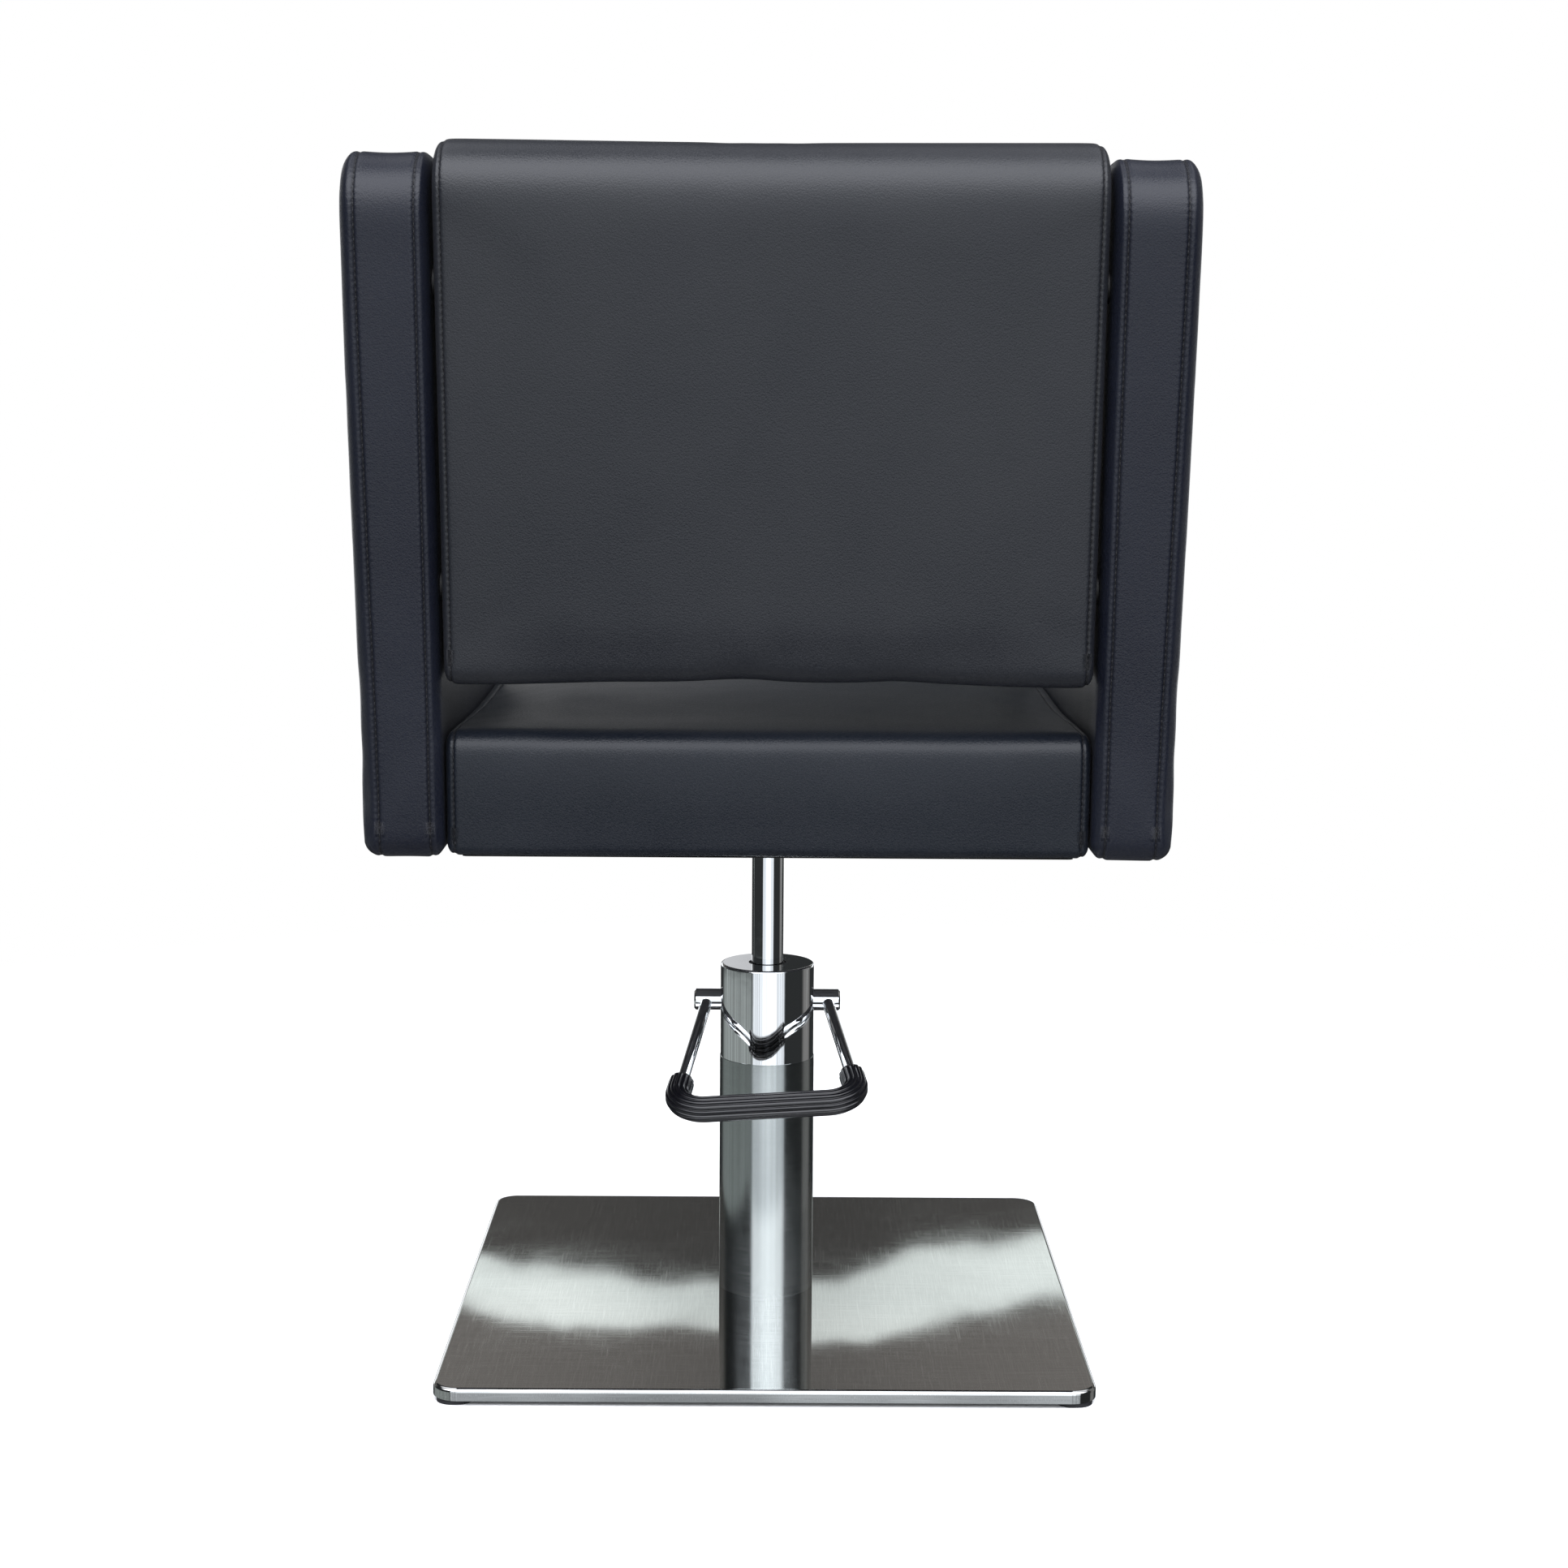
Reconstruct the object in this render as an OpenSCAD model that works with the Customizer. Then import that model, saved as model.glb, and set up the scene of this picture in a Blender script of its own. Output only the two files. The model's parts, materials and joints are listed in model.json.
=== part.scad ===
// Styling chair: square plate base, hydraulic pump column with a foot pedal,
// and an upholstered seat and back held between two tall side panels.
// The origin is on the swivel axis at floor level. +Z is up and the sitter faces +Y,
// so the pedal is on the -Y side.

/* [Base] */
// Width and depth of the square base
base_w = 500; // [470:10:560]
// Corner radius of the base
base_corner_r = 20; // [18:1:40]
// Height of the rubber corner feet
foot_h = 4; // [3:0.5:6]
// Height of the base cover from its rim to its top
cover_h = 9.5; // [9:0.5:11]

/* [Column] */
// Outer diameter of the column tube
column_d = 78; // [77:0.5:81]
// Height of the joint between the column tube and the pump head collar
collar_z = 210; // [205:1:215]
// Diameter of the chromed ram
ram_d = 26; // [25:0.5:26.5]

/* [Pedal] */
// Height of the pedal shaft above the floor
shaft_z = 251; // [249:1:253]
// Diameter of the pedal shaft
shaft_d = 18; // [17:0.5:18.5]
// Diameter of the pedal bar
bar_d = 10; // [9:0.5:11]
// How far behind the swivel axis the foot bar lies
bar_reach = 135; // [120:5:150]
// Height of the middle of the foot bar
bar_z = 201.5; // [195:0.5:210]
// Half the spacing of the two arms at the foot bar
bar_half_w = 73; // [66:1:80]
// How far the foot bar is out of level at each end
bar_tilt = 4.5; // [0:0.5:6]
// Outer diameter of the rubber sleeve
sleeve_d = 20.5; // [19:0.5:23]

/* [Seat] */
// Height of the underside of the seat and side panels
seat_bottom = 407; // [400:1:420]
// Height of the seat top
seat_top = 503; // [495:1:520]
// Distance from the swivel axis back to the rear face of the seat
seat_rear = 198; // [185:1:210]
// Clear width between the side panels
seat_w = 483; // [460:1:500]

/* [Back and side panels] */
// Recline of the backrest and the rear edges of the side panels, in degrees
recline = 7; // [4:0.5:10]
// Height of the backrest's lower edge
back_bottom = 537; // [530:1:550]
// Height of the backrest's top
back_top = 931; // [915:1:950]
// Thickness of the backrest
back_t = 75; // [70:1:85]
// Gap between the backrest and each side panel
back_gap = 4.5; // [3:0.5:6]
// Thickness of the side panels
panel_t = 61; // [58:1:66]
// Height of the top of the side panels
panel_top = 920.5; // [905:0.5:935]
// Depth of the upper part of the side panels
wing_depth = 118; // [110:1:140]
// Height of the armrests
arm_z = 690; // [670:5:710]

/* [Hidden] */
$fn = 96;
cut = 1;               // how far a cutting shape runs past the solid it cuts

chrome = [0.86, 0.87, 0.88];
satin_steel = [0.72, 0.73, 0.74];
dark_steel = [0.35, 0.36, 0.38];
zinc = [0.70, 0.72, 0.74];
cast_grey = [0.45, 0.46, 0.48];
bronze = [0.72, 0.55, 0.30];
brass = [0.80, 0.65, 0.30];
black_rubber = [0.06, 0.06, 0.07];
black_nylon = [0.10, 0.10, 0.11];
timber = [0.78, 0.62, 0.42];
plywood = [0.82, 0.68, 0.48];
vinyl = [0.20, 0.21, 0.24];

// Base and column levels
cover_t = 1.5;
plate_top = foot_h + cover_h;
ballast_w = base_w - 7;
foot_pad_w = 28;
foot_pad_r = 12;
foot_pad_inset = 3;
pump_foot_h = 14;
pump_foot_top = plate_top + pump_foot_h;
base_screw_pcd = 54;
base_screw_d = 10;

// Pump head levels
head_bottom = collar_z - 2;
head_floor = head_bottom + 14;
head_ledge = collar_z + 60;
head_top = collar_z + 70;
gland_top = head_top + 6;
collar_top = gland_top + 2;
head_d = column_d - 4;
head_bore = head_d - 8;
column_wall = 1.5;
collar_d = column_d - 1;
running_gap = 0.05;
gland_screw_r = head_bore / 2 - 1.5;

// Ram, measured with the seat at its middle height
ram_bottom = 108;
piston_h = 20;
cylinder_bore = 32;
cylinder_d = 37;
reservoir_d = head_d - 3;
reservoir_bore = head_d - 8;
shoulder_z = seat_bottom - 21;
spigot_d = 20;
spigot_top = shoulder_z + 14.3;

// Pedal and pump drive
shaft_y = ram_d / 2 + shaft_d / 2 + 2.5;
shaft_half_len = 61;
arm_x = 50;
arm_bend_r = 22;
sleeve_run = 22;       // how far the sleeve runs up each arm past the bend
sleeve_play = 0.2;     // keeps the flats of the sleeve's bore clear of the bar
yoke_d = 7;
yoke_x = 19.5;
yoke_bend_r = 9;
yoke_lift = 14;        // degrees that the yoke slopes up before the pedal is pressed
plunger_y = -head_bore / 2 + 7.2;
yoke_len = shaft_y - plunger_y;
plunger_d = 9;
barrel_d = 13;
barrel_bottom = 165;
plunger_head_d = 13.5;
plunger_top = shaft_z + yoke_len * sin(yoke_lift) - yoke_d / 2 - 0.3;
plunger_head_h = 3;
plunger_bottom = 190;
spring_wire = 1.6;
spring_turns = 4.5;

// The reclined parts lean back about the bottom rear edge of the seat. A place on them is
// given as [t, v]: t forward from the rear face and v up along it.
function lean(p) = [
    -seat_rear + p[0] * cos(recline) - p[1] * sin(recline),
    seat_bottom + p[0] * sin(recline) + p[1] * cos(recline)
];
back_roll = 26;
back_rear_roll = 40;
back_v0 = (back_bottom - seat_bottom) / cos(recline);
back_v1 = back_roll
    + (back_top - seat_bottom - back_roll - (back_t - back_roll) * sin(recline)) / cos(recline);
back_half_w = seat_w / 2 - back_gap;
// The backrest's rolled top edge reaches furthest back, and the seat front matches it.
overall_half_depth = back_rear_roll - lean([back_rear_roll, back_v1 - back_rear_roll])[0];
panel_front = overall_half_depth - 8;

// Seat structure
foam_side = 12;        // foam and cover outside the timber
rail_t = 22;
frame_top = seat_bottom + 51;
board_t = 10;
cover_sheet = 1;
mount_t = 5;
mount_w = 220;
mount_bottom = seat_bottom + cover_sheet - mount_t;
hub_bottom = shoulder_z - 6;
hub_d = 48;
cross_rail_w = 60;
bolt_d = 8;
bolt_x = 75;
bolt_y = 85;
seat_front = overall_half_depth;
frame_half_w = seat_w / 2 - foam_side;

// Back frame in [t, v]
back_frame_t0 = 14;
back_frame_t1 = 44;
back_board_t = 6;
back_frame_v0 = back_v0 + foam_side;
back_frame_v1 = back_v1 - 22;

// Fixings through the side panels
panel_bolt_len = 80;
seat_bolt_z = seat_bottom + 26;
seat_bolt_ys = [-110, 140];
back_bolt_t = 29;
back_bolt_vs = [back_v0 + 70, back_v0 + 290];
core_inner_x = seat_w / 2 + foam_side;
core_outer_x = seat_w / 2 + panel_t - foam_side;
hex_af = 13;
hex_h = 5.3;
tee_flange_d = 22;
tee_flange_h = 1.5;
tee_barrel_d = 10;
tee_len = 12;

// ---- outlines ----

function unit(v) = v / norm(v);

// Arc that rounds the corner at c, between the points before and after it.
function corner_arc(before, c, after, r, steps) =
    let (
        a = unit(before - c),
        b = unit(after - c),
        half = acos(a * b) / 2,
        o = c + unit(a + b) * r / sin(half),
        s = c + a * r / tan(half) - o,
        e = c + b * r / tan(half) - o,
        start = atan2(s[1], s[0]),
        sweep = (atan2(e[1], e[0]) - start + 540) % 360 - 180
    )
    [for (i = [0:steps]) o + r * [cos(start + sweep * i / steps), sin(start + sweep * i / steps)]];

// Closed outline from corners given as [x, y, radius].
function rounded_outline(corners, steps = 8) =
    let (n = len(corners), p = [for (c = corners) [c[0], c[1]]])
    [for (i = [0:n - 1]) each corner_arc(p[(i + n - 1) % n], p[i], p[(i + 1) % n], corners[i][2], steps)];

// Y of the line parallel to the reclined rear edge, at the given depth in front of it.
function rear_line(z, depth) = -seat_rear - (z - seat_bottom) * tan(recline) + depth / cos(recline);

// Side panel outline, inset by e all round: deep armrest below, narrower wing above.
function panel_outline(e) = rounded_outline([
    [rear_line(seat_bottom + e, e), seat_bottom + e, 16 - e / 2],
    [panel_front - e, seat_bottom + e, 34 - e],
    [panel_front - e, arm_z - e, 46 - e],
    [rear_line(arm_z - e, wing_depth - e), arm_z - e, 90 + e],
    [rear_line(panel_top - e, wing_depth - e), panel_top - e, 34 - e],
    [rear_line(panel_top - e, e), panel_top - e, 45 - e]
]);

function seat_outline() = rounded_outline([
    [-seat_rear, seat_bottom, 8],
    [seat_front, seat_bottom, 10],
    [seat_front, seat_top, 30],
    [-seat_rear, seat_top, 13]
]);

function leaned_corner(t, v, r) = [lean([t, v])[0], lean([t, v])[1], r];

function back_outline() = rounded_outline([
    leaned_corner(0, back_v0, 14),
    leaned_corner(back_t, back_v0, 14),
    leaned_corner(back_t, back_v1, back_roll),
    leaned_corner(0, back_v1, back_rear_roll)
]);

function leaned_box(t0, t1, v0, v1) =
    [lean([t0, v0]), lean([t1, v0]), lean([t1, v1]), lean([t0, v1])];

// ---- general shapes ----

module disc(d, z0, z1) {
    translate([0, 0, z0]) cylinder(d = d, h = z1 - z0);
}

module ring(od, id, z0, z1) {
    difference() {
        disc(od, z0, z1);
        disc(id, z0 - cut, z1 + cut);
    }
}

// A (Y, Z) outline carried along X.
module along_x(outline, x0, x1) {
    translate([x0, 0, 0]) rotate([90, 0, 90]) linear_extrude(x1 - x0) polygon(outline);
}

module rod_x(d, x0, x1) {
    translate([x0, 0, 0]) rotate([0, 90, 0]) cylinder(d = d, h = x1 - x0);
}

module box(low, high) {
    translate(low) cube(high - low);
}

module both_sides() {
    children();
    mirror([1, 0, 0]) children();
}

module rounded_plate(w, z0, z1, r) {
    translate([-w / 2 + r, -w / 2, z0]) cube([w - 2 * r, w, z1 - z0]);
    translate([-w / 2, -w / 2 + r, z0]) cube([w, w - 2 * r, z1 - z0]);
    for (x = [-1, 1], y = [-1, 1]) {
        translate([x * (w / 2 - r), y * (w / 2 - r), z0]) cylinder(r = r, h = z1 - z0);
    }
}

// Half section of a plate edge whose top corner is rounded.
module edge_section(reach, h, top_r) {
    square([reach - top_r, h]);
    square([reach, h - top_r]);
    translate([reach - top_r, h - top_r]) circle(r = top_r);
}

// Square plate with rounded corners and a rounded top edge.
module domed_plate(w, h, corner_r, top_r) {
    inner = w / 2 - corner_r;
    translate([-inner, -inner, 0]) cube([2 * inner, 2 * inner, h]);
    for (a = [0:90:270]) rotate([0, 0, a]) {
        translate([inner, inner, 0]) rotate_extrude() edge_section(corner_r, h, top_r);
        translate([inner, 0, 0]) rotate([90, 0, 0])
            linear_extrude(2 * inner, center = true) edge_section(corner_r, h, top_r);
    }
}

// Straight rod between two points.
module rod_between(a, b, d) {
    v = b - a;
    translate(a) rotate([0, acos(v[2] / norm(v)), atan2(v[1], v[0])]) cylinder(d = d, h = norm(v));
}

// Arc of a path that bends at c, between the straight runs towards a and b.
function bend_points(a, c, b, r, steps) =
    let (
        u = unit(a - c),
        w = unit(b - c),
        half = acos(u * w) / 2,
        centre = c + unit(u + w) * r / sin(half),
        out = unit(c + u * r / tan(half) - centre),
        turn = 180 - 2 * half
    )
    [for (i = [0:steps]) centre + r * (out * cos(turn * i / steps) - u * sin(turn * i / steps))];

// U-shaped path through four points, rounded at the middle two.
function bent_path(p, r, steps = 8) = [
    p[0],
    each bend_points(p[0], p[1], p[2], r, steps),
    each bend_points(p[1], p[2], p[3], r, steps),
    p[3]
];

function path_direction(p, i) =
    let (
        back = i > 0 ? unit(p[i] - p[i - 1]) : [0, 0, 0],
        ahead = i < len(p) - 1 ? unit(p[i + 1] - p[i]) : [0, 0, 0]
    )
    unit(back + ahead);

// Points of the rings of a tube that follows a path, ring by ring.
function tube_points(p, r, sides) = [for (i = [0:len(p) - 1])
    let (t = path_direction(p, i), side = unit(cross(t, [0, 0, 1])), up = cross(side, t))
    each [for (j = [0:sides - 1]) p[i] + r * (side * cos(360 * j / sides) + up * sin(360 * j / sides))]];

// Wall faces of a tube whose rings start at the given index.
function tube_walls(rings, sides, first = 0) = [for (i = [0:rings - 2], j = [0:sides - 1])
    let (k = (j + 1) % sides, a = first + i * sides, b = a + sides)
    [a + j, b + j, b + k, a + k]];

function reversed(list) = [for (i = [len(list) - 1:-1:0]) list[i]];

module swept_rod(path, d, sides = 16) {
    last = (len(path) - 1) * sides;
    caps = [[for (j = [0:sides - 1]) j], [for (j = [sides - 1:-1:0]) last + j]];
    polyhedron(tube_points(path, d / 2, sides), concat(tube_walls(len(path), sides), caps), convexity = 10);
}

module swept_sleeve(path, od, id, sides = 16) {
    inner = len(path) * sides;
    last = inner - sides;
    outer_walls = tube_walls(len(path), sides);
    inner_walls = [for (f = tube_walls(len(path), sides, inner)) reversed(f)];
    start = [for (j = [0:sides - 1]) let (k = (j + 1) % sides) [j, k, inner + k, inner + j]];
    end = [for (j = [0:sides - 1]) let (k = (j + 1) % sides)
        [last + k, last + j, last + inner + j, last + inner + k]];
    polyhedron(concat(tube_points(path, od / 2, sides), tube_points(path, id / 2, sides)),
        concat(outer_walls, inner_walls, start, end), convexity = 10);
}

module hex_x(af, x0, x1) {
    translate([x0, 0, 0]) rotate([0, 90, 0]) cylinder(d = af / cos(30), h = x1 - x0, $fn = 6);
}

// ---- base ----

module at_base_screws() {
    for (a = [45:90:315]) rotate([0, 0, a]) translate([base_screw_pcd / 2, 0, 0]) children();
}

module base_cover() {
    color(satin_steel) difference() {
        translate([0, 0, foot_h]) domed_plate(base_w, cover_h, base_corner_r, 3);
        translate([0, 0, foot_h - cut])
            domed_plate(base_w - 2 * cover_t, cover_h - cover_t + cut, base_corner_r - cover_t, 1.5);
        at_base_screws() disc(base_screw_d, 0, plate_top + cut);
    }
}

module ballast_plate() {
    color(dark_steel) difference() {
        rounded_plate(ballast_w, foot_h, plate_top - cover_t, base_corner_r - 3.5);
        at_base_screws() {
            disc(base_screw_d, 0, plate_top);
            translate([0, 0, foot_h]) cylinder(d1 = 2 * base_screw_d, d2 = base_screw_d, h = 5);
            disc(2 * base_screw_d, foot_h - cut, foot_h);
        }
    }
}

module base_screws() {
    color(zinc) at_base_screws() difference() {
        union() {
            translate([0, 0, foot_h]) cylinder(d1 = 2 * base_screw_d, d2 = base_screw_d, h = 5);
            disc(base_screw_d, foot_h + 5, plate_top + 12);
        }
        translate([0, 0, foot_h - cut]) cylinder(d = 6 / cos(30), h = 3.5 + cut, $fn = 6);
    }
}

module corner_feet() {
    pad = base_w / 2 - foot_pad_inset - foot_pad_w / 2;
    color(black_rubber) for (x = [-1, 1], y = [-1, 1]) {
        translate([x * pad, y * pad, 0]) rounded_plate(foot_pad_w, 0, foot_h, foot_pad_r);
    }
}

// ---- column and pump ----

module pump_foot() {
    color(cast_grey) difference() {
        disc(head_d, plate_top, pump_foot_top);
        at_base_screws() disc(base_screw_d, plate_top - cut, plate_top + 12.5);
    }
}

module column_tube() {
    color(satin_steel) ring(column_d, column_d - 2 * column_wall, plate_top, collar_z);
}

module reservoir_tube() {
    color(dark_steel) ring(reservoir_d, reservoir_bore, pump_foot_top, head_bottom);
}

module pressure_cylinder() {
    color(dark_steel) ring(cylinder_d, cylinder_bore, pump_foot_top, head_bottom);
}

module shaft_bore(d) {
    translate([0, shaft_y, shaft_z]) rod_x(d, -column_d, column_d);
}

module at_plunger() {
    translate([0, plunger_y, 0]) children();
}

module at_release_valve() {
    translate([0, -plunger_y, 0]) children();
}

module pump_head() {
    color(cast_grey) difference() {
        disc(head_d, head_bottom, head_top);
        disc(head_bore, head_floor, head_ledge);
        disc(head_bore - 11, head_floor, head_top + cut);
        disc(ram_d + 2 * running_gap, head_bottom - cut, head_top);
        disc(cylinder_bore, head_bottom + 4, head_bottom + 9);
        at_plunger() disc(barrel_d, head_bottom - cut, head_floor + cut);
        at_release_valve() disc(8, head_bottom - cut, head_floor + cut);
        shaft_bore(shaft_d + 2 * running_gap);
        at_gland_screws() disc(4, head_ledge + 2, head_top + cut);
    }
}

module head_collar() {
    color(chrome) difference() {
        union() {
            disc(collar_d, collar_z, collar_top - 2);
            disc(collar_d - 4, collar_top - 2 - cut, collar_top);
            translate([0, 0, collar_top - 2]) rotate_extrude()
                translate([collar_d / 2 - 2, 0]) circle(r = 2, $fn = 48);
        }
        disc(head_d, collar_z - cut, gland_top);
        disc(ram_d + 5, gland_top - cut, collar_top + cut);
        shaft_bore(shaft_d + 1);
    }
}

module guide_sleeve() {
    color(bronze) ring(ram_d + 4, ram_d + 2 * running_gap, head_floor, gland_top - 2);
}

module ram_seal() {
    color(black_rubber) ring(cylinder_bore, ram_d + 0.1, head_bottom + 4, head_bottom + 9);
}

module at_gland_screws() {
    for (a = [45:90:315]) rotate([0, 0, a]) translate([gland_screw_r, 0, 0]) children();
}

module gland_screw_shape() {
    translate([0, 0, gland_top - 1.8]) cylinder(d1 = 4, d2 = 7, h = 1.8);
    disc(4, head_ledge + 3, gland_top - 1.8);
}

module gland_cover() {
    color(cast_grey) difference() {
        disc(head_d, head_top, gland_top);
        disc(ram_d + 4, head_top - cut, gland_top + cut);
        at_gland_screws() gland_screw_shape();
    }
}

module gland_screws() {
    color(zinc) at_gland_screws() gland_screw_shape();
}

module rod_wiper() {
    color(black_rubber) ring(ram_d + 4, ram_d + 0.1, gland_top - 2, gland_top + 1.5);
}

module plunger_barrel() {
    color(dark_steel) at_plunger() ring(barrel_d, plunger_d + 2 * running_gap, barrel_bottom, head_floor);
}

module suction_valve() {
    color(brass) at_plunger() difference() {
        disc(barrel_d, barrel_bottom - 12, barrel_bottom);
        disc(7, barrel_bottom - 8, barrel_bottom + cut);
        disc(4, barrel_bottom - 12 - cut, barrel_bottom);
    }
}

module check_ball() {
    color(chrome) at_plunger() translate([0, 0, barrel_bottom - 5.7]) sphere(d = 6);
}

module release_valve() {
    color(brass) at_release_valve() {
        disc(8, head_bottom - 6, head_floor);
        translate([0, 0, head_floor]) cylinder(d = 10 / cos(30), h = 6, $fn = 6);
        disc(4, head_floor + 6, head_floor + 14);
    }
}

// ---- plunger ----

module plunger() {
    color(chrome) at_plunger() {
        disc(plunger_d, plunger_bottom, plunger_top - 1);
        disc(plunger_head_d, plunger_top - plunger_head_h, plunger_top);
    }
}

// Coil between the head floor and the plunger's head.
module return_spring() {
    r = plunger_head_d / 2 - spring_wire / 2 - 0.3;
    z0 = head_floor + spring_wire / 2 + 0.1;
    z1 = plunger_top - plunger_head_h - spring_wire / 2 - 0.1;
    steps = 18 * spring_turns;
    path = [for (i = [0:steps]) let (a = 360 * spring_turns * i / steps)
        [r * cos(a), r * sin(a), z0 + (z1 - z0) * i / steps]];
    color(zinc) at_plunger() swept_rod(path, spring_wire, 8);
}

// ---- pedal ----

bar_points = [
    [-arm_x, shaft_y, shaft_z],
    [-bar_half_w, -bar_reach, bar_z - bar_tilt],
    [bar_half_w, -bar_reach, bar_z + bar_tilt],
    [arm_x, shaft_y, shaft_z]
];

yoke_reach = [0, -yoke_len * cos(yoke_lift), yoke_len * sin(yoke_lift)];
yoke_points = [
    [-yoke_x, shaft_y, shaft_z],
    [-yoke_x, shaft_y, shaft_z] + yoke_reach,
    [yoke_x, shaft_y, shaft_z] + yoke_reach,
    [yoke_x, shaft_y, shaft_z]
];

// The sleeve covers the foot bar, both bends and a short run of each arm.
sleeve_points = [
    bar_points[1] + unit(bar_points[0] - bar_points[1]) * (arm_bend_r + sleeve_run),
    bar_points[1],
    bar_points[2],
    bar_points[2] + unit(bar_points[3] - bar_points[2]) * (arm_bend_r + sleeve_run)
];

module pedal_shaft() {
    color(chrome) difference() {
        translate([0, shaft_y, shaft_z]) union() {
            rod_x(shaft_d, -shaft_half_len + 1.5, shaft_half_len - 1.5);
            both_sides() translate([shaft_half_len - 1.5, 0, 0]) rotate([0, 90, 0])
                cylinder(d1 = shaft_d, d2 = shaft_d - 3, h = 1.5);
        }
        rod_between(bar_points[0], bar_points[1], bar_d);
        rod_between(bar_points[3], bar_points[2], bar_d);
        rod_between(yoke_points[0], yoke_points[1], yoke_d);
        rod_between(yoke_points[3], yoke_points[2], yoke_d);
        translate([0, shaft_y, shaft_z]) both_sides() rod_x(6, arm_x, shaft_half_len + cut);
    }
}

module pedal_bar() {
    color(chrome) swept_rod(bent_path(bar_points, arm_bend_r), bar_d);
}

module pedal_sleeve() {
    color(black_rubber) swept_sleeve(bent_path(sleeve_points, arm_bend_r), sleeve_d, bar_d + sleeve_play);
}

module pump_yoke() {
    color(dark_steel) swept_rod(bent_path(yoke_points, yoke_bend_r), yoke_d);
}

module bar_grub_screws() {
    color(zinc) translate([0, shaft_y, shaft_z]) both_sides() difference() {
        rod_x(6, arm_x + bar_d / 2 + 0.5, shaft_half_len - 0.5);
        translate([shaft_half_len - 3, 0, 0]) rotate([0, 90, 0]) cylinder(d = 3 / cos(30), h = 4, $fn = 6);
    }
}

// ---- ram ----

module ram() {
    color(chrome) difference() {
        union() {
            disc(ram_d, ram_bottom + piston_h, shoulder_z);
            disc(spigot_d, shoulder_z - cut, spigot_top);
            disc(16, ram_bottom, ram_bottom + piston_h + cut);
        }
        disc(10, spigot_top - 22, spigot_top + cut);
    }
}

module piston() {
    color(bronze) difference() {
        disc(cylinder_bore - 2 * running_gap, ram_bottom, ram_bottom + piston_h);
        disc(16, ram_bottom - cut, ram_bottom + piston_h + cut);
        ring(cylinder_bore + cut, cylinder_bore - 6, ram_bottom + 7, ram_bottom + 13);
    }
}

module piston_seal() {
    color(black_rubber) ring(cylinder_bore - 0.06, cylinder_bore - 6, ram_bottom + 7, ram_bottom + 13);
}

module thrust_washer() {
    color(bronze) ring(ram_d - 0.2, spigot_d + 0.1, shoulder_z, shoulder_z + 2);
}

module retaining_washer() {
    color(zinc) ring(34, 10, spigot_top, spigot_top + 3);
}

module retaining_screw() {
    color(zinc) difference() {
        union() {
            disc(10, spigot_top - 20, spigot_top + 3);
            disc(17, spigot_top + 3, spigot_top + 8);
        }
        translate([0, 0, spigot_top + 5]) cylinder(d = 6 / cos(30), h = 4, $fn = 6);
    }
}

// ---- seat ----

module at_seat_bolts() {
    for (x = [-1, 1], y = [-1, 1]) translate([x * bolt_x, y * bolt_y, 0]) children();
}

module seat_mount() {
    plate_top_z = mount_bottom + mount_t;
    color(dark_steel) difference() {
        union() {
            rounded_plate(mount_w, mount_bottom, plate_top_z, 15);
            disc(hub_d, hub_bottom, plate_top_z);
        }
        disc(ram_d + 0.4, hub_bottom - cut, shoulder_z + 2);
        disc(ram_d, shoulder_z + 1, shoulder_z + 13);
        disc(spigot_d + 2, shoulder_z, spigot_top);
        disc(36, spigot_top - 0.3, plate_top_z + cut);
        at_seat_bolts() disc(bolt_d + 0.4, mount_bottom - cut, plate_top_z + cut);
    }
}

module swivel_bush() {
    color(bronze) ring(ram_d, spigot_d + 2 * running_gap, shoulder_z + 2.2, shoulder_z + 13);
}

module seat_bolts() {
    color(zinc) at_seat_bolts() {
        translate([0, 0, mount_bottom - hex_h]) cylinder(d = hex_af / cos(30), h = hex_h, $fn = 6);
        disc(bolt_d, mount_bottom, seat_bottom + 37);
    }
}

module seat_washers() {
    color(zinc) at_seat_bolts() ring(22, bolt_d, seat_bottom + 1 + rail_t, seat_bottom + 3 + rail_t);
}

module seat_nuts() {
    color(zinc) at_seat_bolts() difference() {
        translate([0, 0, seat_bottom + 3 + rail_t]) cylinder(d = hex_af / cos(30), h = 6.5, $fn = 6);
        disc(bolt_d, seat_bottom, seat_bottom + 60);
    }
}

module cross_rails() {
    front = seat_front - foam_side - rail_t;
    rear = -seat_rear + foam_side + rail_t;
    color(timber) difference() {
        for (x = [-bolt_x, bolt_x]) {
            box([x - cross_rail_w / 2, rear, seat_bottom + cover_sheet],
                [x + cross_rail_w / 2, front, seat_bottom + cover_sheet + rail_t]);
        }
        at_seat_bolts() disc(bolt_d + 0.4, seat_bottom, seat_bottom + 40);
    }
}

module at_seat_side_bolts() {
    for (y = seat_bolt_ys) translate([0, y, seat_bolt_z]) both_sides() children();
}

module at_back_side_bolts() {
    for (v = back_bolt_vs) {
        translate([0, lean([back_bolt_t, v])[0], lean([back_bolt_t, v])[1]]) both_sides() children();
    }
}

module seat_frame_block(inset) {
    box([-frame_half_w + inset, -seat_rear + foam_side + inset, seat_bottom + cover_sheet],
        [frame_half_w - inset, seat_front - foam_side - inset, frame_top]);
}

module seat_frame() {
    color(timber) difference() {
        seat_frame_block(0);
        translate([0, 0, -cut]) seat_frame_block(rail_t);
        translate([0, 0, cut]) seat_frame_block(rail_t);
        at_seat_side_bolts() rod_x(bolt_d + 0.4, frame_half_w - rail_t - cut, frame_half_w + cut);
    }
}

module seat_board() {
    color(plywood) box([-frame_half_w, -seat_rear + foam_side, frame_top],
        [frame_half_w, seat_front - foam_side, frame_top + board_t]);
}

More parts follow.
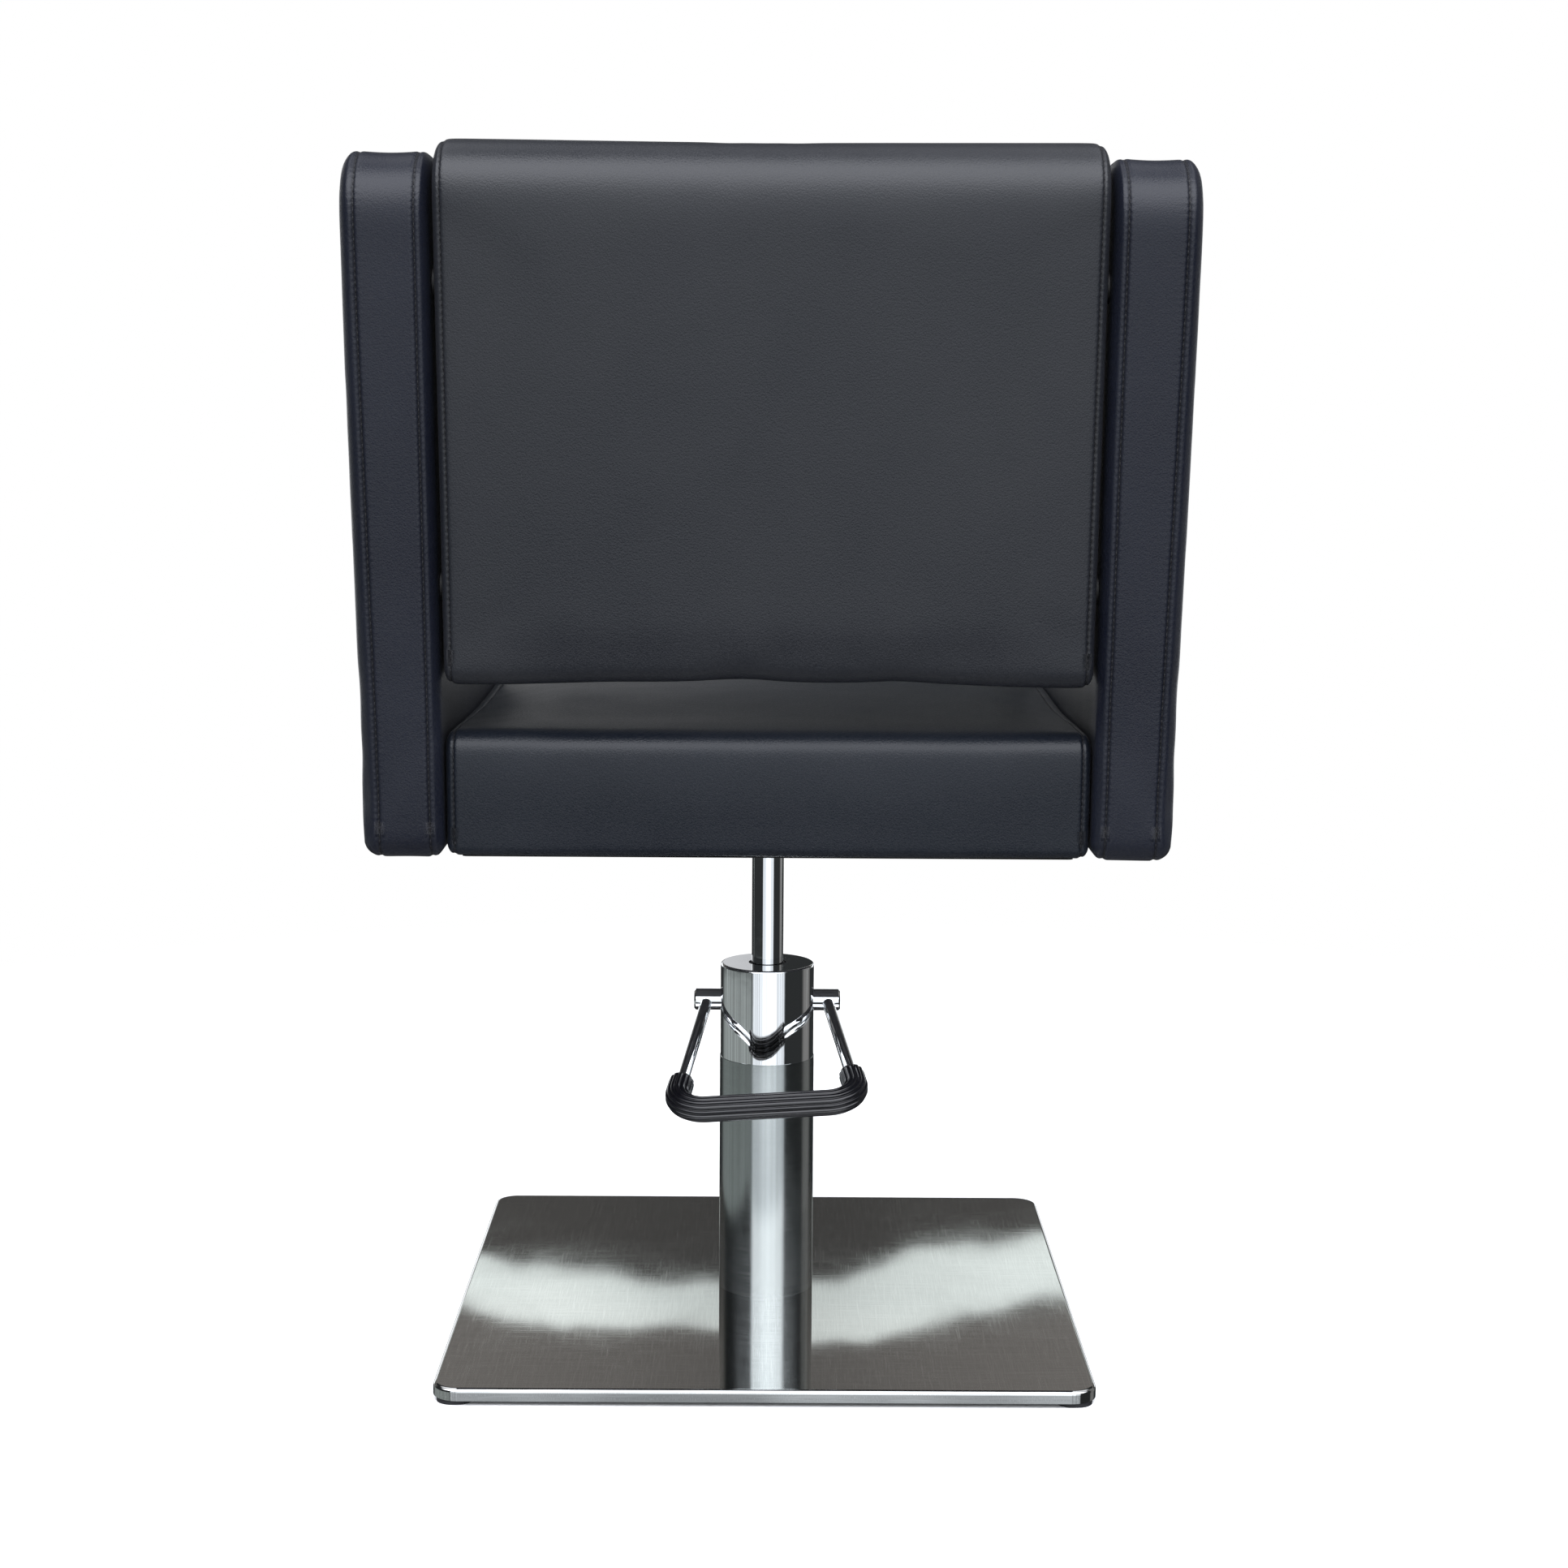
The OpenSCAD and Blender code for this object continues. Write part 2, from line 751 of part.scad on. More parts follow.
module seat_pad() {
    color(vinyl) difference() {
        along_x(seat_outline(), -seat_w / 2, seat_w / 2);
        box([-frame_half_w, -seat_rear + foam_side, seat_bottom - cut],
            [frame_half_w, seat_front - foam_side, frame_top + board_t]);
        at_seat_side_bolts() rod_x(bolt_d + 0.4, frame_half_w - cut, seat_w / 2 + cut);
    }
}

module dust_cover() {
    color(black_nylon) difference() {
        box([-frame_half_w, -seat_rear + foam_side, seat_bottom],
            [frame_half_w, seat_front - foam_side, seat_bottom + cover_sheet]);
        rounded_plate(mount_w + 2, seat_bottom - cut, seat_bottom + 2 * cut, 16);
    }
}

// ---- backrest ----

module back_frame_block(inset, t0, t1) {
    w = back_half_w - foam_side - inset;
    along_x(leaned_box(t0, t1, back_frame_v0 + inset, back_frame_v1 - inset), -w, w);
}

module back_frame_shape() {
    difference() {
        back_frame_block(0, back_frame_t0, back_frame_t1);
        back_frame_block(rail_t, back_frame_t0 - cut, back_frame_t1 + cut);
    }
}

module back_board_shape() {
    back_frame_block(0, back_frame_t1, back_frame_t1 + back_board_t);
}

module back_frame() {
    rail_inner = back_half_w - foam_side - rail_t;
    color(timber) difference() {
        back_frame_shape();
        at_back_side_bolts() {
            rod_x(tee_barrel_d, rail_inner - cut, back_half_w);
            rod_x(tee_flange_d, rail_inner - cut, rail_inner + tee_flange_h);
        }
    }
}

module back_board() {
    color(plywood) back_board_shape();
}

module backrest_pad() {
    color(vinyl) difference() {
        along_x(back_outline(), -back_half_w, back_half_w);
        back_frame_shape();
        back_board_shape();
        at_back_side_bolts()
            rod_x(bolt_d + 0.4, back_half_w - foam_side - rail_t - 2 * cut, back_half_w + cut);
    }
}

module back_spacers() {
    color(black_nylon) at_back_side_bolts() difference() {
        rod_x(24, back_half_w, seat_w / 2);
        rod_x(bolt_d, back_half_w - cut, seat_w / 2 + cut);
    }
}

// ---- side panels, made for the +X side and mirrored ----

module panel_core() {
    color(timber) difference() {
        along_x(panel_outline(foam_side), core_inner_x, core_outer_x);
        at_seat_side_bolts() {
            rod_x(tee_barrel_d, core_inner_x - cut, core_outer_x + cut);
            rod_x(tee_flange_d, core_outer_x - tee_flange_h, core_outer_x + cut);
        }
        at_back_side_bolts() {
            rod_x(bolt_d + 0.4, core_inner_x - cut, core_outer_x + cut);
            rod_x(22, core_outer_x - 7, core_outer_x + cut);
        }
    }
}

module side_panel() {
    color(vinyl) difference() {
        along_x(panel_outline(0), seat_w / 2, seat_w / 2 + panel_t);
        along_x(panel_outline(foam_side), core_inner_x, core_outer_x);
        at_seat_side_bolts() rod_x(bolt_d + 0.4, seat_w / 2 - cut, core_inner_x + cut);
        at_back_side_bolts() rod_x(bolt_d + 0.4, seat_w / 2 - cut, core_inner_x + cut);
    }
}

// Seat bolts start inside the seat frame, back bolts start in the outer face of the core.
module panel_bolts() {
    seat_head = frame_half_w - rail_t;
    back_head = core_outer_x - 7;
    color(zinc) {
        at_seat_side_bolts() {
            hex_x(hex_af, seat_head - hex_h, seat_head);
            rod_x(bolt_d, seat_head, seat_head + panel_bolt_len);
        }
        at_back_side_bolts() {
            hex_x(hex_af, back_head, back_head + hex_h);
            rod_x(bolt_d, back_head - panel_bolt_len, back_head);
        }
    }
}

// Tee nut with its flange at x = 0 and its barrel towards +X.
module tee_nut() {
    difference() {
        union() {
            rod_x(tee_flange_d, 0, tee_flange_h);
            rod_x(tee_barrel_d, 0, tee_len);
        }
        rod_x(bolt_d, -cut, tee_len + cut);
    }
}

module panel_tee_nuts() {
    color(zinc) at_seat_side_bolts() translate([core_outer_x, 0, 0]) mirror([1, 0, 0]) tee_nut();
}

module back_tee_nuts() {
    color(zinc) at_back_side_bolts() translate([back_half_w - foam_side - rail_t, 0, 0]) tee_nut();
}

module left() {
    mirror([1, 0, 0]) children();
}

base_cover();
ballast_plate();
corner_feet();
base_screws();
pump_foot();
column_tube();
reservoir_tube();
pressure_cylinder();
pump_head();
head_collar();
guide_sleeve();
ram_seal();
gland_cover();
gland_screws();
rod_wiper();
plunger_barrel();
suction_valve();
check_ball();
release_valve();
plunger();
return_spring();
pedal_shaft();
pedal_bar();
pedal_sleeve();
pump_yoke();
bar_grub_screws();
ram();
piston();
piston_seal();
thrust_washer();
retaining_washer();
retaining_screw();
seat_mount();
swivel_bush();
seat_bolts();
seat_washers();
seat_nuts();
cross_rails();
seat_frame();
seat_board();
seat_pad();
dust_cover();
back_frame();
back_board();
backrest_pad();
back_spacers();
left() panel_core();  // panel_core_left
panel_core();  // panel_core_right
left() side_panel();  // side_panel_left
side_panel();  // side_panel_right
panel_bolts();
panel_tee_nuts();
back_tee_nuts();
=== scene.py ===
"""The looks of the styling chair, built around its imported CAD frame. Metres, +Z up, the sitter faces +Y."""

import json
import math

import bmesh
import bpy
import numpy as np
from mathutils import Matrix, Vector, noise
from mathutils.bvhtree import BVHTree
from mathutils.geometry import delaunay_2d_cdt


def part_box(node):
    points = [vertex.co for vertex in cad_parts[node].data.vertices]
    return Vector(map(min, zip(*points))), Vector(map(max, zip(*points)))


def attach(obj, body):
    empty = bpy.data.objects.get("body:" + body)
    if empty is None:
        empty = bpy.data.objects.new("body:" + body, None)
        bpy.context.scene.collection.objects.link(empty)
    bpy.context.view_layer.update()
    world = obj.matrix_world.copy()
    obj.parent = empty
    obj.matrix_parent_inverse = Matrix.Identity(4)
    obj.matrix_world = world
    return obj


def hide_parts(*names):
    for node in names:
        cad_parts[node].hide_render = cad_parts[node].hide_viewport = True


MM = 0.001
STITCH_PITCH = 5 * MM
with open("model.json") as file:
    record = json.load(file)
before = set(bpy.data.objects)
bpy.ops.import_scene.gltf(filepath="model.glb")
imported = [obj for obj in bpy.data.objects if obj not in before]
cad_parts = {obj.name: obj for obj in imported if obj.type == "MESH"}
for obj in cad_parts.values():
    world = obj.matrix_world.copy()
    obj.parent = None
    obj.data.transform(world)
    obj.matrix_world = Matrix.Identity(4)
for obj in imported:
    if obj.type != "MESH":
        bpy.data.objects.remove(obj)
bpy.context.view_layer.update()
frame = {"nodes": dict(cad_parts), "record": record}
collection = bpy.context.scene.collection


# ---------------------------------------------------------------- small helpers


def new_object(name, data):
    made = bpy.data.objects.new(name, data)
    collection.objects.link(made)
    return made


def unit(v):
    return v / np.linalg.norm(v)


def ramp(value, low, high):
    """A smooth step from 0 at low to 1 at high."""
    t = np.clip((value - low) / (high - low), 0, 1)
    return t * t * (3 - 2 * t)


def running_length(points):
    """The distance along a line of points, from 0 at the first."""
    return np.concatenate(([0.0], np.cumsum(np.linalg.norm(np.diff(points, axis=0), axis=1))))


def tube_faces(rings, sides, start=0):
    """The quads between rings of points that follow each other in a list, from index start on."""
    faces = []
    for i in range(rings - 1):
        for k in range(sides):
            a, b = start + i * sides + k, start + i * sides + (k + 1) % sides
            faces.append((a, b, b + sides, a + sides))
    return faces


def end_faces(rings, sides, start=0):
    """The two faces that close such a tube."""
    last = start + (rings - 1) * sides
    return [tuple(start + k for k in reversed(range(sides))), tuple(last + k for k in range(sides))]


def outward_mesh(name, points, faces):
    """A mesh with all its faces turned outwards."""
    mesh = bpy.data.meshes.new(name)
    mesh.from_pydata([tuple(p) for p in points], [], faces)
    work = bmesh.new()
    work.from_mesh(mesh)
    bmesh.ops.recalc_face_normals(work, faces=work.faces)
    work.to_mesh(mesh)
    work.free()
    return mesh


def finish_mesh(made, material):
    """Applies an object's modifiers, shades it smooth and gives it its one material."""
    refined = bpy.data.meshes.new_from_object(made.evaluated_get(bpy.context.evaluated_depsgraph_get()))
    made.modifiers.clear()
    coarse, made.data = made.data, refined
    bpy.data.meshes.remove(coarse)
    refined.name = made.name
    refined.polygons.foreach_set("use_smooth", [True] * len(refined.polygons))
    refined.materials.clear()
    refined.materials.append(material)


# ---------------------------------------------------------------- camera, stage and light


def make_camera():
    """A long lens a little over two metres behind the chair, looking slightly down."""
    data = bpy.data.cameras.new("camera")
    data.sensor_width = 36
    data.lens = 61.25
    place = (0.0015, -2.162, 0.738)
    turn, tilt, lean_over = (math.radians(angle) for angle in (-0.297, 82.06, 0.386))
    camera = new_object("camera", data)
    camera.matrix_world = (
        Matrix.Translation(place)
        @ Matrix.Rotation(turn, 4, "Z")
        @ Matrix.Rotation(tilt, 4, "X")
        @ Matrix.Rotation(lean_over, 4, "Z")
    )
    bpy.context.scene.camera = camera


def add(tree, kind, inputs=None, **settings):
    """A new node with its inputs set: a socket is linked, anything else is a value."""
    node = tree.nodes.new(kind)
    for name, value in settings.items():
        setattr(node, name, value)
    for name, value in (inputs or {}).items():
        if isinstance(value, bpy.types.NodeSocket):
            tree.links.new(value, node.inputs[name])
        else:
            node.inputs[name].default_value = value
    return node


def math_node(tree, operation, a, b=0.0, c=0.0):
    return add(tree, "ShaderNodeMath", {0: a, 1: b, 2: c}, operation=operation).outputs[0]


def smooth_range(tree, value, low, high, to_low=0.0, to_high=1.0):
    return add(
        tree,
        "ShaderNodeMapRange",
        {"Value": value, "From Min": low, "From Max": high, "To Min": to_low, "To Max": to_high},
        interpolation_type="SMOOTHSTEP",
    ).outputs[0]


def make_world():
    """A soft studio all round, with brighter panels for the chrome to mirror."""
    world = bpy.data.worlds.new("studio")
    bpy.context.scene.world = world
    world.use_nodes = True
    tree = world.node_tree
    tree.nodes.clear()
    direction = add(tree, "ShaderNodeTexCoord").outputs["Generated"]
    wobble = add(tree, "ShaderNodeTexNoise", {"Vector": direction, "Scale": 14.0, "Detail": 2.5})
    drift = add(tree, "ShaderNodeTexNoise", {"Vector": direction, "Scale": 5.0, "Detail": 2.0})
    xyz = add(tree, "ShaderNodeSeparateXYZ", {0: direction})
    x, y, z = xyz.outputs
    azimuth = math_node(tree, "ARCTAN2", x, math_node(tree, "MULTIPLY", y, -1.0))
    azimuth = math_node(tree, "MULTIPLY", azimuth, 180 / math.pi)
    height = math_node(tree, "MULTIPLY", math_node(tree, "ARCSINE", z), 180 / math.pi)
    # the lit wall strip bends down at both sides, and its edges are uneven
    sideways = math_node(tree, "MULTIPLY", math_node(tree, "MULTIPLY", x, x), 40.0)
    bent = math_node(tree, "ADD", height, sideways)
    wavy = math_node(tree, "MULTIPLY_ADD", wobble.outputs["Fac"], 2.4, bent)

    def window(value, low, high, soft):
        """1 between two angles in degrees, 0 outside, with soft edges."""
        up = smooth_range(tree, value, low - soft, low + soft)
        down = smooth_range(tree, value, high - soft, high + soft, 1.0, 0.0)
        return math_node(tree, "MULTIPLY", up, down)

    def streaky(strength):
        """Upright streaks in a panel, which become the fine lines on a polished tube."""
        inputs = {"W": azimuth, "Scale": 0.22, "Detail": 2.0}
        wave = add(tree, "ShaderNodeTexNoise", inputs, noise_dimensions="1D")
        return smooth_range(tree, wave.outputs["Fac"], 0.38, 0.62, 0.72 * strength, 1.15 * strength)

    def panel(around, above, colour, strength):
        """A lit patch of the surroundings, where two windows cross."""
        shape = math_node(tree, "MULTIPLY", around, above)
        shade = add(tree, "ShaderNodeEmission", {"Color": (*colour, 1), "Strength": strength})
        black = add(tree, "ShaderNodeEmission", {"Strength": 0.0})
        return add(tree, "ShaderNodeMixShader", {0: shape, 1: black.outputs[0], 2: shade.outputs[0]})

    everywhere = window(height, -91, 91, 0.5)
    backwards = math_node(tree, "ABSOLUTE", azimuth)
    lowered = math_node(tree, "SUBTRACT", height, 2.0)
    drifting = math_node(tree, "MULTIPLY_ADD", drift.outputs["Fac"], 4.0, lowered)
    panels = [
        # the room: dark on the right, grey-green on the left, brown-grey in front of the sitter
        panel(everywhere, everywhere, (0.80, 0.86, 0.88), 0.035),
        panel(
            window(azimuth, -135, -36, 12),
            window(height, -30, -11.9, 0.3),
            (0.80, 0.88, 0.86),
            streaky(0.36),
        ),
        panel(window(azimuth, 100, 128, 6), window(height, -40, 40, 8), (0.92, 0.90, 0.88), 0.20),
        panel(window(backwards, 120, 181, 10), window(height, 15.0, 24.0, 1.5), (0.98, 0.90, 0.84), 0.065),
        panel(window(backwards, 120, 181, 10), window(drifting, 19.0, 26.0, 0.4), (1.0, 0.92, 0.86), 0.12),
        panel(window(azimuth, -181, -150, 10), window(height, 10.4, 14.4, 0.8), (0.96, 0.97, 1.0), 0.9),
        # the bright floor further out
        panel(everywhere, window(height, -91, -40, 5), (0.95, 0.96, 1.0), 0.18),
        # bright walls beside and beyond the sitter, low down
        panel(window(backwards, 142, 166, 4), window(height, -8, 10, 2), (0.95, 0.97, 1.0), 1.1),
        panel(window(azimuth, -181, -120, 12), window(height, -4, 11, 3), (1.0, 0.99, 0.97), 0.24),
        # the big white panel behind the camera, with a brighter window in it
        panel(window(azimuth, -35, 43, 2.5), window(height, -21, 28, 4), (0.90, 0.95, 1.0), streaky(1.0)),
        panel(window(azimuth, -12, 24, 4), window(height, -18, 28, 4), (0.92, 0.96, 1.0), 0.5),
        panel(window(azimuth, -35, 43, 2.5), window(height, 14, 28, 2), (0.95, 0.97, 1.0), 1.2),
        # a lit wall strip in front of the sitter, mirrored by the base
        panel(window(backwards, 120, 181, 8), window(wavy, 19.3, 20.5, 0.09), (0.92, 1.0, 0.98), 1.1),
        # broad ceiling light above and behind the camera
        panel(window(azimuth, -80, 80, 14), window(height, 29, 77, 7), (0.92, 0.94, 1.0), 5.0),
        panel(window(backwards, 105, 172, 5), window(height, 46, 78, 6), (0.95, 0.96, 1.0), 1.2),
    ]
    total = panels[0].outputs[0]
    for one in panels[1:]:
        total = add(tree, "ShaderNodeAddShader", {0: total, 1: one.outputs[0]}).outputs[0]
    out = add(tree, "ShaderNodeOutputWorld")
    tree.links.new(total, out.inputs[0])


def area_light(name, place, target, size, power, colour):
    data = bpy.data.lights.new(name, "AREA")
    data.shape = "RECTANGLE"
    data.size, data.size_y = size
    data.energy = power
    data.color = colour
    light = new_object(name, data)
    light.location = place
    light.rotation_euler = (Vector(target) - Vector(place)).to_track_quat("-Z", "Y").to_euler()
    light.visible_camera = False
    light.visible_glossy = False


def disc_mesh(name, radii, sides):
    """A flat disc in rings about the origin."""
    mesh = bpy.data.meshes.new(name)
    points = [(0.0, 0.0, 0.0)]
    faces = []
    for k, radius in enumerate(radii):
        ring = [
            (radius * math.cos(2 * math.pi * i / sides), radius * math.sin(2 * math.pi * i / sides), 0.0)
            for i in range(sides)
        ]
        start = len(points)
        points += ring
        for i in range(sides):
            j = (i + 1) % sides
            if k == 0:
                faces.append((0, start + i, start + j))
            else:
                faces.append((start + i - sides, start + i, start + j, start + j - sides))
    mesh.from_pydata(points, [], faces)
    return mesh


def empty_material(name):
    material = bpy.data.materials.new(name)
    material.use_nodes = True
    material.node_tree.nodes.clear()
    return material, material.node_tree


def make_stage():
    """A pale floor that turns into the pale backdrop without a horizon."""
    floor = new_object("stage_floor", disc_mesh("stage_floor", (1.0, 3.0, 9.0), 64))
    material, tree = empty_material("stage_floor")
    place = add(tree, "ShaderNodeTexCoord").outputs["Object"]
    reach = add(tree, "ShaderNodeVectorMath", {0: place}, operation="LENGTH").outputs["Value"]
    grain = add(tree, "ShaderNodeTexNoise", {"Vector": place, "Scale": 180.0, "Detail": 3.0})
    tint = add(
        tree,
        "ShaderNodeMapRange",
        {"Value": grain.outputs["Fac"], "To Min": 0.90, "To Max": 0.93},
    ).outputs[0]
    matt = add(tree, "ShaderNodeBsdfDiffuse", {"Color": tint})
    glow = add(tree, "ShaderNodeEmission", {"Color": (1, 1, 1, 1), "Strength": 1.0})
    share = smooth_range(tree, reach, 0.55, 1.7)
    mixed = add(tree, "ShaderNodeMixShader", {0: share, 1: matt.outputs[0], 2: glow.outputs[0]})
    out = add(tree, "ShaderNodeOutputMaterial")
    tree.links.new(mixed.outputs[0], out.inputs["Surface"])
    floor.data.materials.append(material)
    floor.visible_glossy = False

    ball = bpy.data.meshes.new("stage_backdrop")
    mesh = bmesh.new()
    bmesh.ops.create_icosphere(mesh, subdivisions=4, radius=10.0)
    bmesh.ops.reverse_faces(mesh, faces=mesh.faces)
    mesh.to_mesh(ball)
    mesh.free()
    backdrop = new_object("stage_backdrop", ball)
    material, tree = empty_material("stage_backdrop")
    glow = add(tree, "ShaderNodeEmission", {"Color": (1, 1, 1, 1), "Strength": 1.0})
    out = add(tree, "ShaderNodeOutputMaterial")
    tree.links.new(glow.outputs[0], out.inputs["Surface"])
    ball.materials.append(material)
    # Only the camera sees the backdrop: light and reflections come from the studio.
    backdrop.visible_diffuse = False
    backdrop.visible_glossy = False
    backdrop.visible_transmission = False
    backdrop.visible_shadow = False


def make_lights():
    area_light("key", (-1.4, -2.6, 2.9), (0, -0.1, 0.6), (2.2, 1.6), 30, (0.97, 0.98, 1.0))
    area_light("fill", (1.9, -1.6, 1.7), (0, -0.1, 0.6), (1.6, 1.6), 8, (0.95, 0.97, 1.0))
    area_light("top", (0.0, 0.6, 3.0), (0, 0.0, 0.4), (2.6, 2.6), 50, (1.0, 1.0, 1.0))
    area_light("front", (0.6, 2.8, 1.9), (0, 0.0, 0.6), (2.0, 1.6), 12, (1.0, 0.99, 0.97))


# ---------------------------------------------------------------- materials


class Surface:
    """A Principled material whose colour, roughness and bump come from textures in the row frame."""

    def __init__(self, name, **values):
        self.material = bpy.data.materials.new(name)
        self.material.use_nodes = True
        self.tree = self.material.node_tree
        self.shader = self.tree.nodes["Principled BSDF"]
        for socket, value in values.items():
            self.shader.inputs[socket.replace("_", " ")].default_value = value
        self.place = add(self.tree, "ShaderNodeTexCoord").outputs["Object"]
        self.normal = None

    def stretched(self, scale):
        return add(self.tree, "ShaderNodeMapping", {"Vector": self.place, "Scale": scale}).outputs[0]

    def noise(self, scale, detail=3.0, roughness=0.5, stretch=None, distortion=0.0):
        vector = self.stretched(stretch) if stretch else self.place
        shape = {"Scale": scale, "Detail": detail, "Roughness": roughness, "Distortion": distortion}
        return add(self.tree, "ShaderNodeTexNoise", {"Vector": vector, **shape}).outputs["Fac"]

    def scaled(self, value, low, high, start=0.0, end=1.0):
        """A value from start to end, carried over to the range from low to high and held at its ends."""
        return add(
            self.tree,
            "ShaderNodeMapRange",
            {"Value": value, "From Min": start, "From Max": end, "To Min": low, "To Max": high},
        ).outputs[0]

    def sum(self, *parts):
        total = parts[0]
        for part in parts[1:]:
            total = math_node(self.tree, "ADD", total, part)
        return total

    def times(self, a, b):
        return math_node(self.tree, "MULTIPLY", a, b)

    def attribute(self, name):
        return add(self.tree, "ShaderNodeAttribute", attribute_name=name).outputs["Fac"]

    def blend(self, share, first, second):
        """From the first colour to the second, by share. Each is a colour or a socket."""
        mix = self.tree.nodes.new("ShaderNodeMix")
        mix.data_type = "RGBA"
        for socket, value in ((0, share), (6, first), (7, second)):
            if isinstance(value, bpy.types.NodeSocket):
                self.tree.links.new(value, mix.inputs[socket])
            else:
                mix.inputs[socket].default_value = value if socket == 0 else (*value, 1)
        return mix.outputs[2]

    def colour(self, value):
        self.tree.links.new(value, self.shader.inputs["Base Color"])

    def roughness(self, value):
        self.tree.links.new(value, self.shader.inputs["Roughness"])

    def bump(self, height, distance, strength=1.0):
        """Adds a layer of bump on top of those already there."""
        inputs = {"Height": height, "Distance": distance, "Strength": strength}
        if self.normal is not None:
            inputs["Normal"] = self.normal
        self.normal = add(self.tree, "ShaderNodeBump", inputs).outputs[0]
        self.tree.links.new(self.normal, self.shader.inputs["Normal"])


def vinyl_material(name, dark, light, shine):
    """Grained upholstery vinyl, duller in the seams and with painted shade along them, drawn up at each
    stitch.
    """
    s = Surface(name, IOR=1.5, Specular_IOR_Level=shine)
    s.shader.inputs["Sheen Weight"].default_value = 0.01
    s.shader.inputs["Sheen Roughness"].default_value = 0.4
    patches = s.noise(7.0, 3.0, 0.55)
    specks = s.noise(620.0, 3.0, 0.6)
    seam = s.attribute("seam")
    body = s.blend(s.scaled(patches, 0.0, 1.0, 0.3, 0.7), dark, light)
    body = s.blend(s.scaled(specks, 0.0, 0.5, 0.4, 0.8), body, (0.014, 0.015, 0.019))
    # painted shade in the seam groove: the colour darkens almost to black along the seam line
    s.colour(s.blend(s.scaled(seam, 0.0, 0.75), body, (0.002, 0.002, 0.003)))
    s.roughness(
        s.sum(
            s.scaled(patches, 0.32, 0.40, 0.3, 0.7),
            s.scaled(specks, -0.03, 0.06, 0.3, 0.7),
            s.times(seam, 0.12),
        )
    )
    # leather grain: soft pebbles about 1.2 mm across, with fine pores between them
    warp = add(s.tree, "ShaderNodeTexNoise", {"Vector": s.place, "Scale": 260.0, "Detail": 2.0})
    bent = add(
        s.tree,
        "ShaderNodeVectorMath",
        {0: warp.outputs["Color"], 1: (0.0012, 0.0012, 0.0012), 2: s.place},
        operation="MULTIPLY_ADD",
    ).outputs[0]
    cells = {"Vector": bent, "Scale": 820.0, "Smoothness": 0.6}
    pebbles = add(s.tree, "ShaderNodeTexVoronoi", cells, feature="SMOOTH_F1").outputs["Distance"]
    s.bump(s.scaled(pebbles, 1.0, 0.0, 0.0, 0.8), 0.00011, 0.9)
    s.bump(s.noise(2100.0, 2.0), 0.00004, 0.6)
    # the cover draws up a little at each stitch
    along = math_node(s.tree, "SINE", s.times(s.attribute("along"), 2 * math.pi / STITCH_PITCH))
    s.bump(s.times(along, s.attribute("pucker")), 0.00007, 1.0)
    return s.material


def thread_material(name):
    """Black twisted thread."""
    s = Surface(name, Roughness=0.6, Specular_IOR_Level=0.35)
    strands = {"Vector": s.place, "Scale": 900.0, "Distortion": 1.5}
    twist = add(s.tree, "ShaderNodeTexWave", strands, bands_direction="DIAGONAL").outputs["Fac"]
    s.colour(s.blend(twist, (0.003, 0.003, 0.004), (0.012, 0.012, 0.015)))
    s.bump(twist, 0.00008, 0.6)
    return s.material


def chrome_material(name):
    """Mirror chrome with faint smears from handling."""
    s = Surface(name, Metallic=1.0)
    smears = s.noise(38.0, 4.0, 0.6)
    film = s.noise(9.0, 2.0)
    s.colour(s.blend(s.scaled(film, 0.0, 1.0, 0.3, 0.7), (0.80, 0.815, 0.83), (0.86, 0.87, 0.88)))
    s.roughness(s.scaled(smears, 0.025, 0.075, 0.35, 0.75))
    s.bump(s.noise(55.0, 2.0), 0.00006, 0.5)
    return s.material


def column_material(name):
    """Satin stainless tube: fine rings round it from polishing, soft smears, a slight green-grey cast."""
    s = Surface(name, Metallic=1.0)
    rings = s.noise(1.0, 2.0, 0.5, stretch=(30.0, 30.0, 2600.0))
    smears = s.noise(16.0, 4.0, 0.6, stretch=(1.0, 1.0, 0.35))
    s.colour(s.blend(s.scaled(smears, 0.0, 1.0, 0.3, 0.75), (0.43, 0.46, 0.46), (0.53, 0.555, 0.55)))
    s.roughness(s.sum(s.scaled(smears, 0.13, 0.21, 0.3, 0.7), s.scaled(rings, -0.03, 0.05, 0.3, 0.7)))
    s.bump(rings, 0.000012, 0.8)
    s.bump(s.noise(7.0, 2.0), 0.0002, 0.5)
    return s.material


def base_material(name):
    """Cross-brushed stainless cover, slightly wavy like any thin sheet."""
    s = Surface(name, Metallic=1.0)
    along_x = s.noise(1.0, 3.0, 0.6, stretch=(28.0, 1500.0, 400.0))
    along_y = s.noise(1.0, 3.0, 0.6, stretch=(1500.0, 28.0, 400.0))
    cross = math_node(s.tree, "MAXIMUM", along_x, along_y)
    smudges = s.noise(11.0, 5.0, 0.62, distortion=0.6)
    s.colour(s.blend(s.scaled(cross, 0.0, 1.0, 0.45, 0.75), (0.56, 0.565, 0.56), (0.72, 0.725, 0.72)))
    s.roughness(s.sum(s.scaled(smudges, 0.022, 0.045, 0.35, 0.7), s.scaled(cross, -0.005, 0.015, 0.45, 0.75)))
    s.bump(cross, 0.000002, 0.7)
    s.bump(s.noise(3.4, 0.0, 0.5), 0.0004, 0.8)
    return s.material


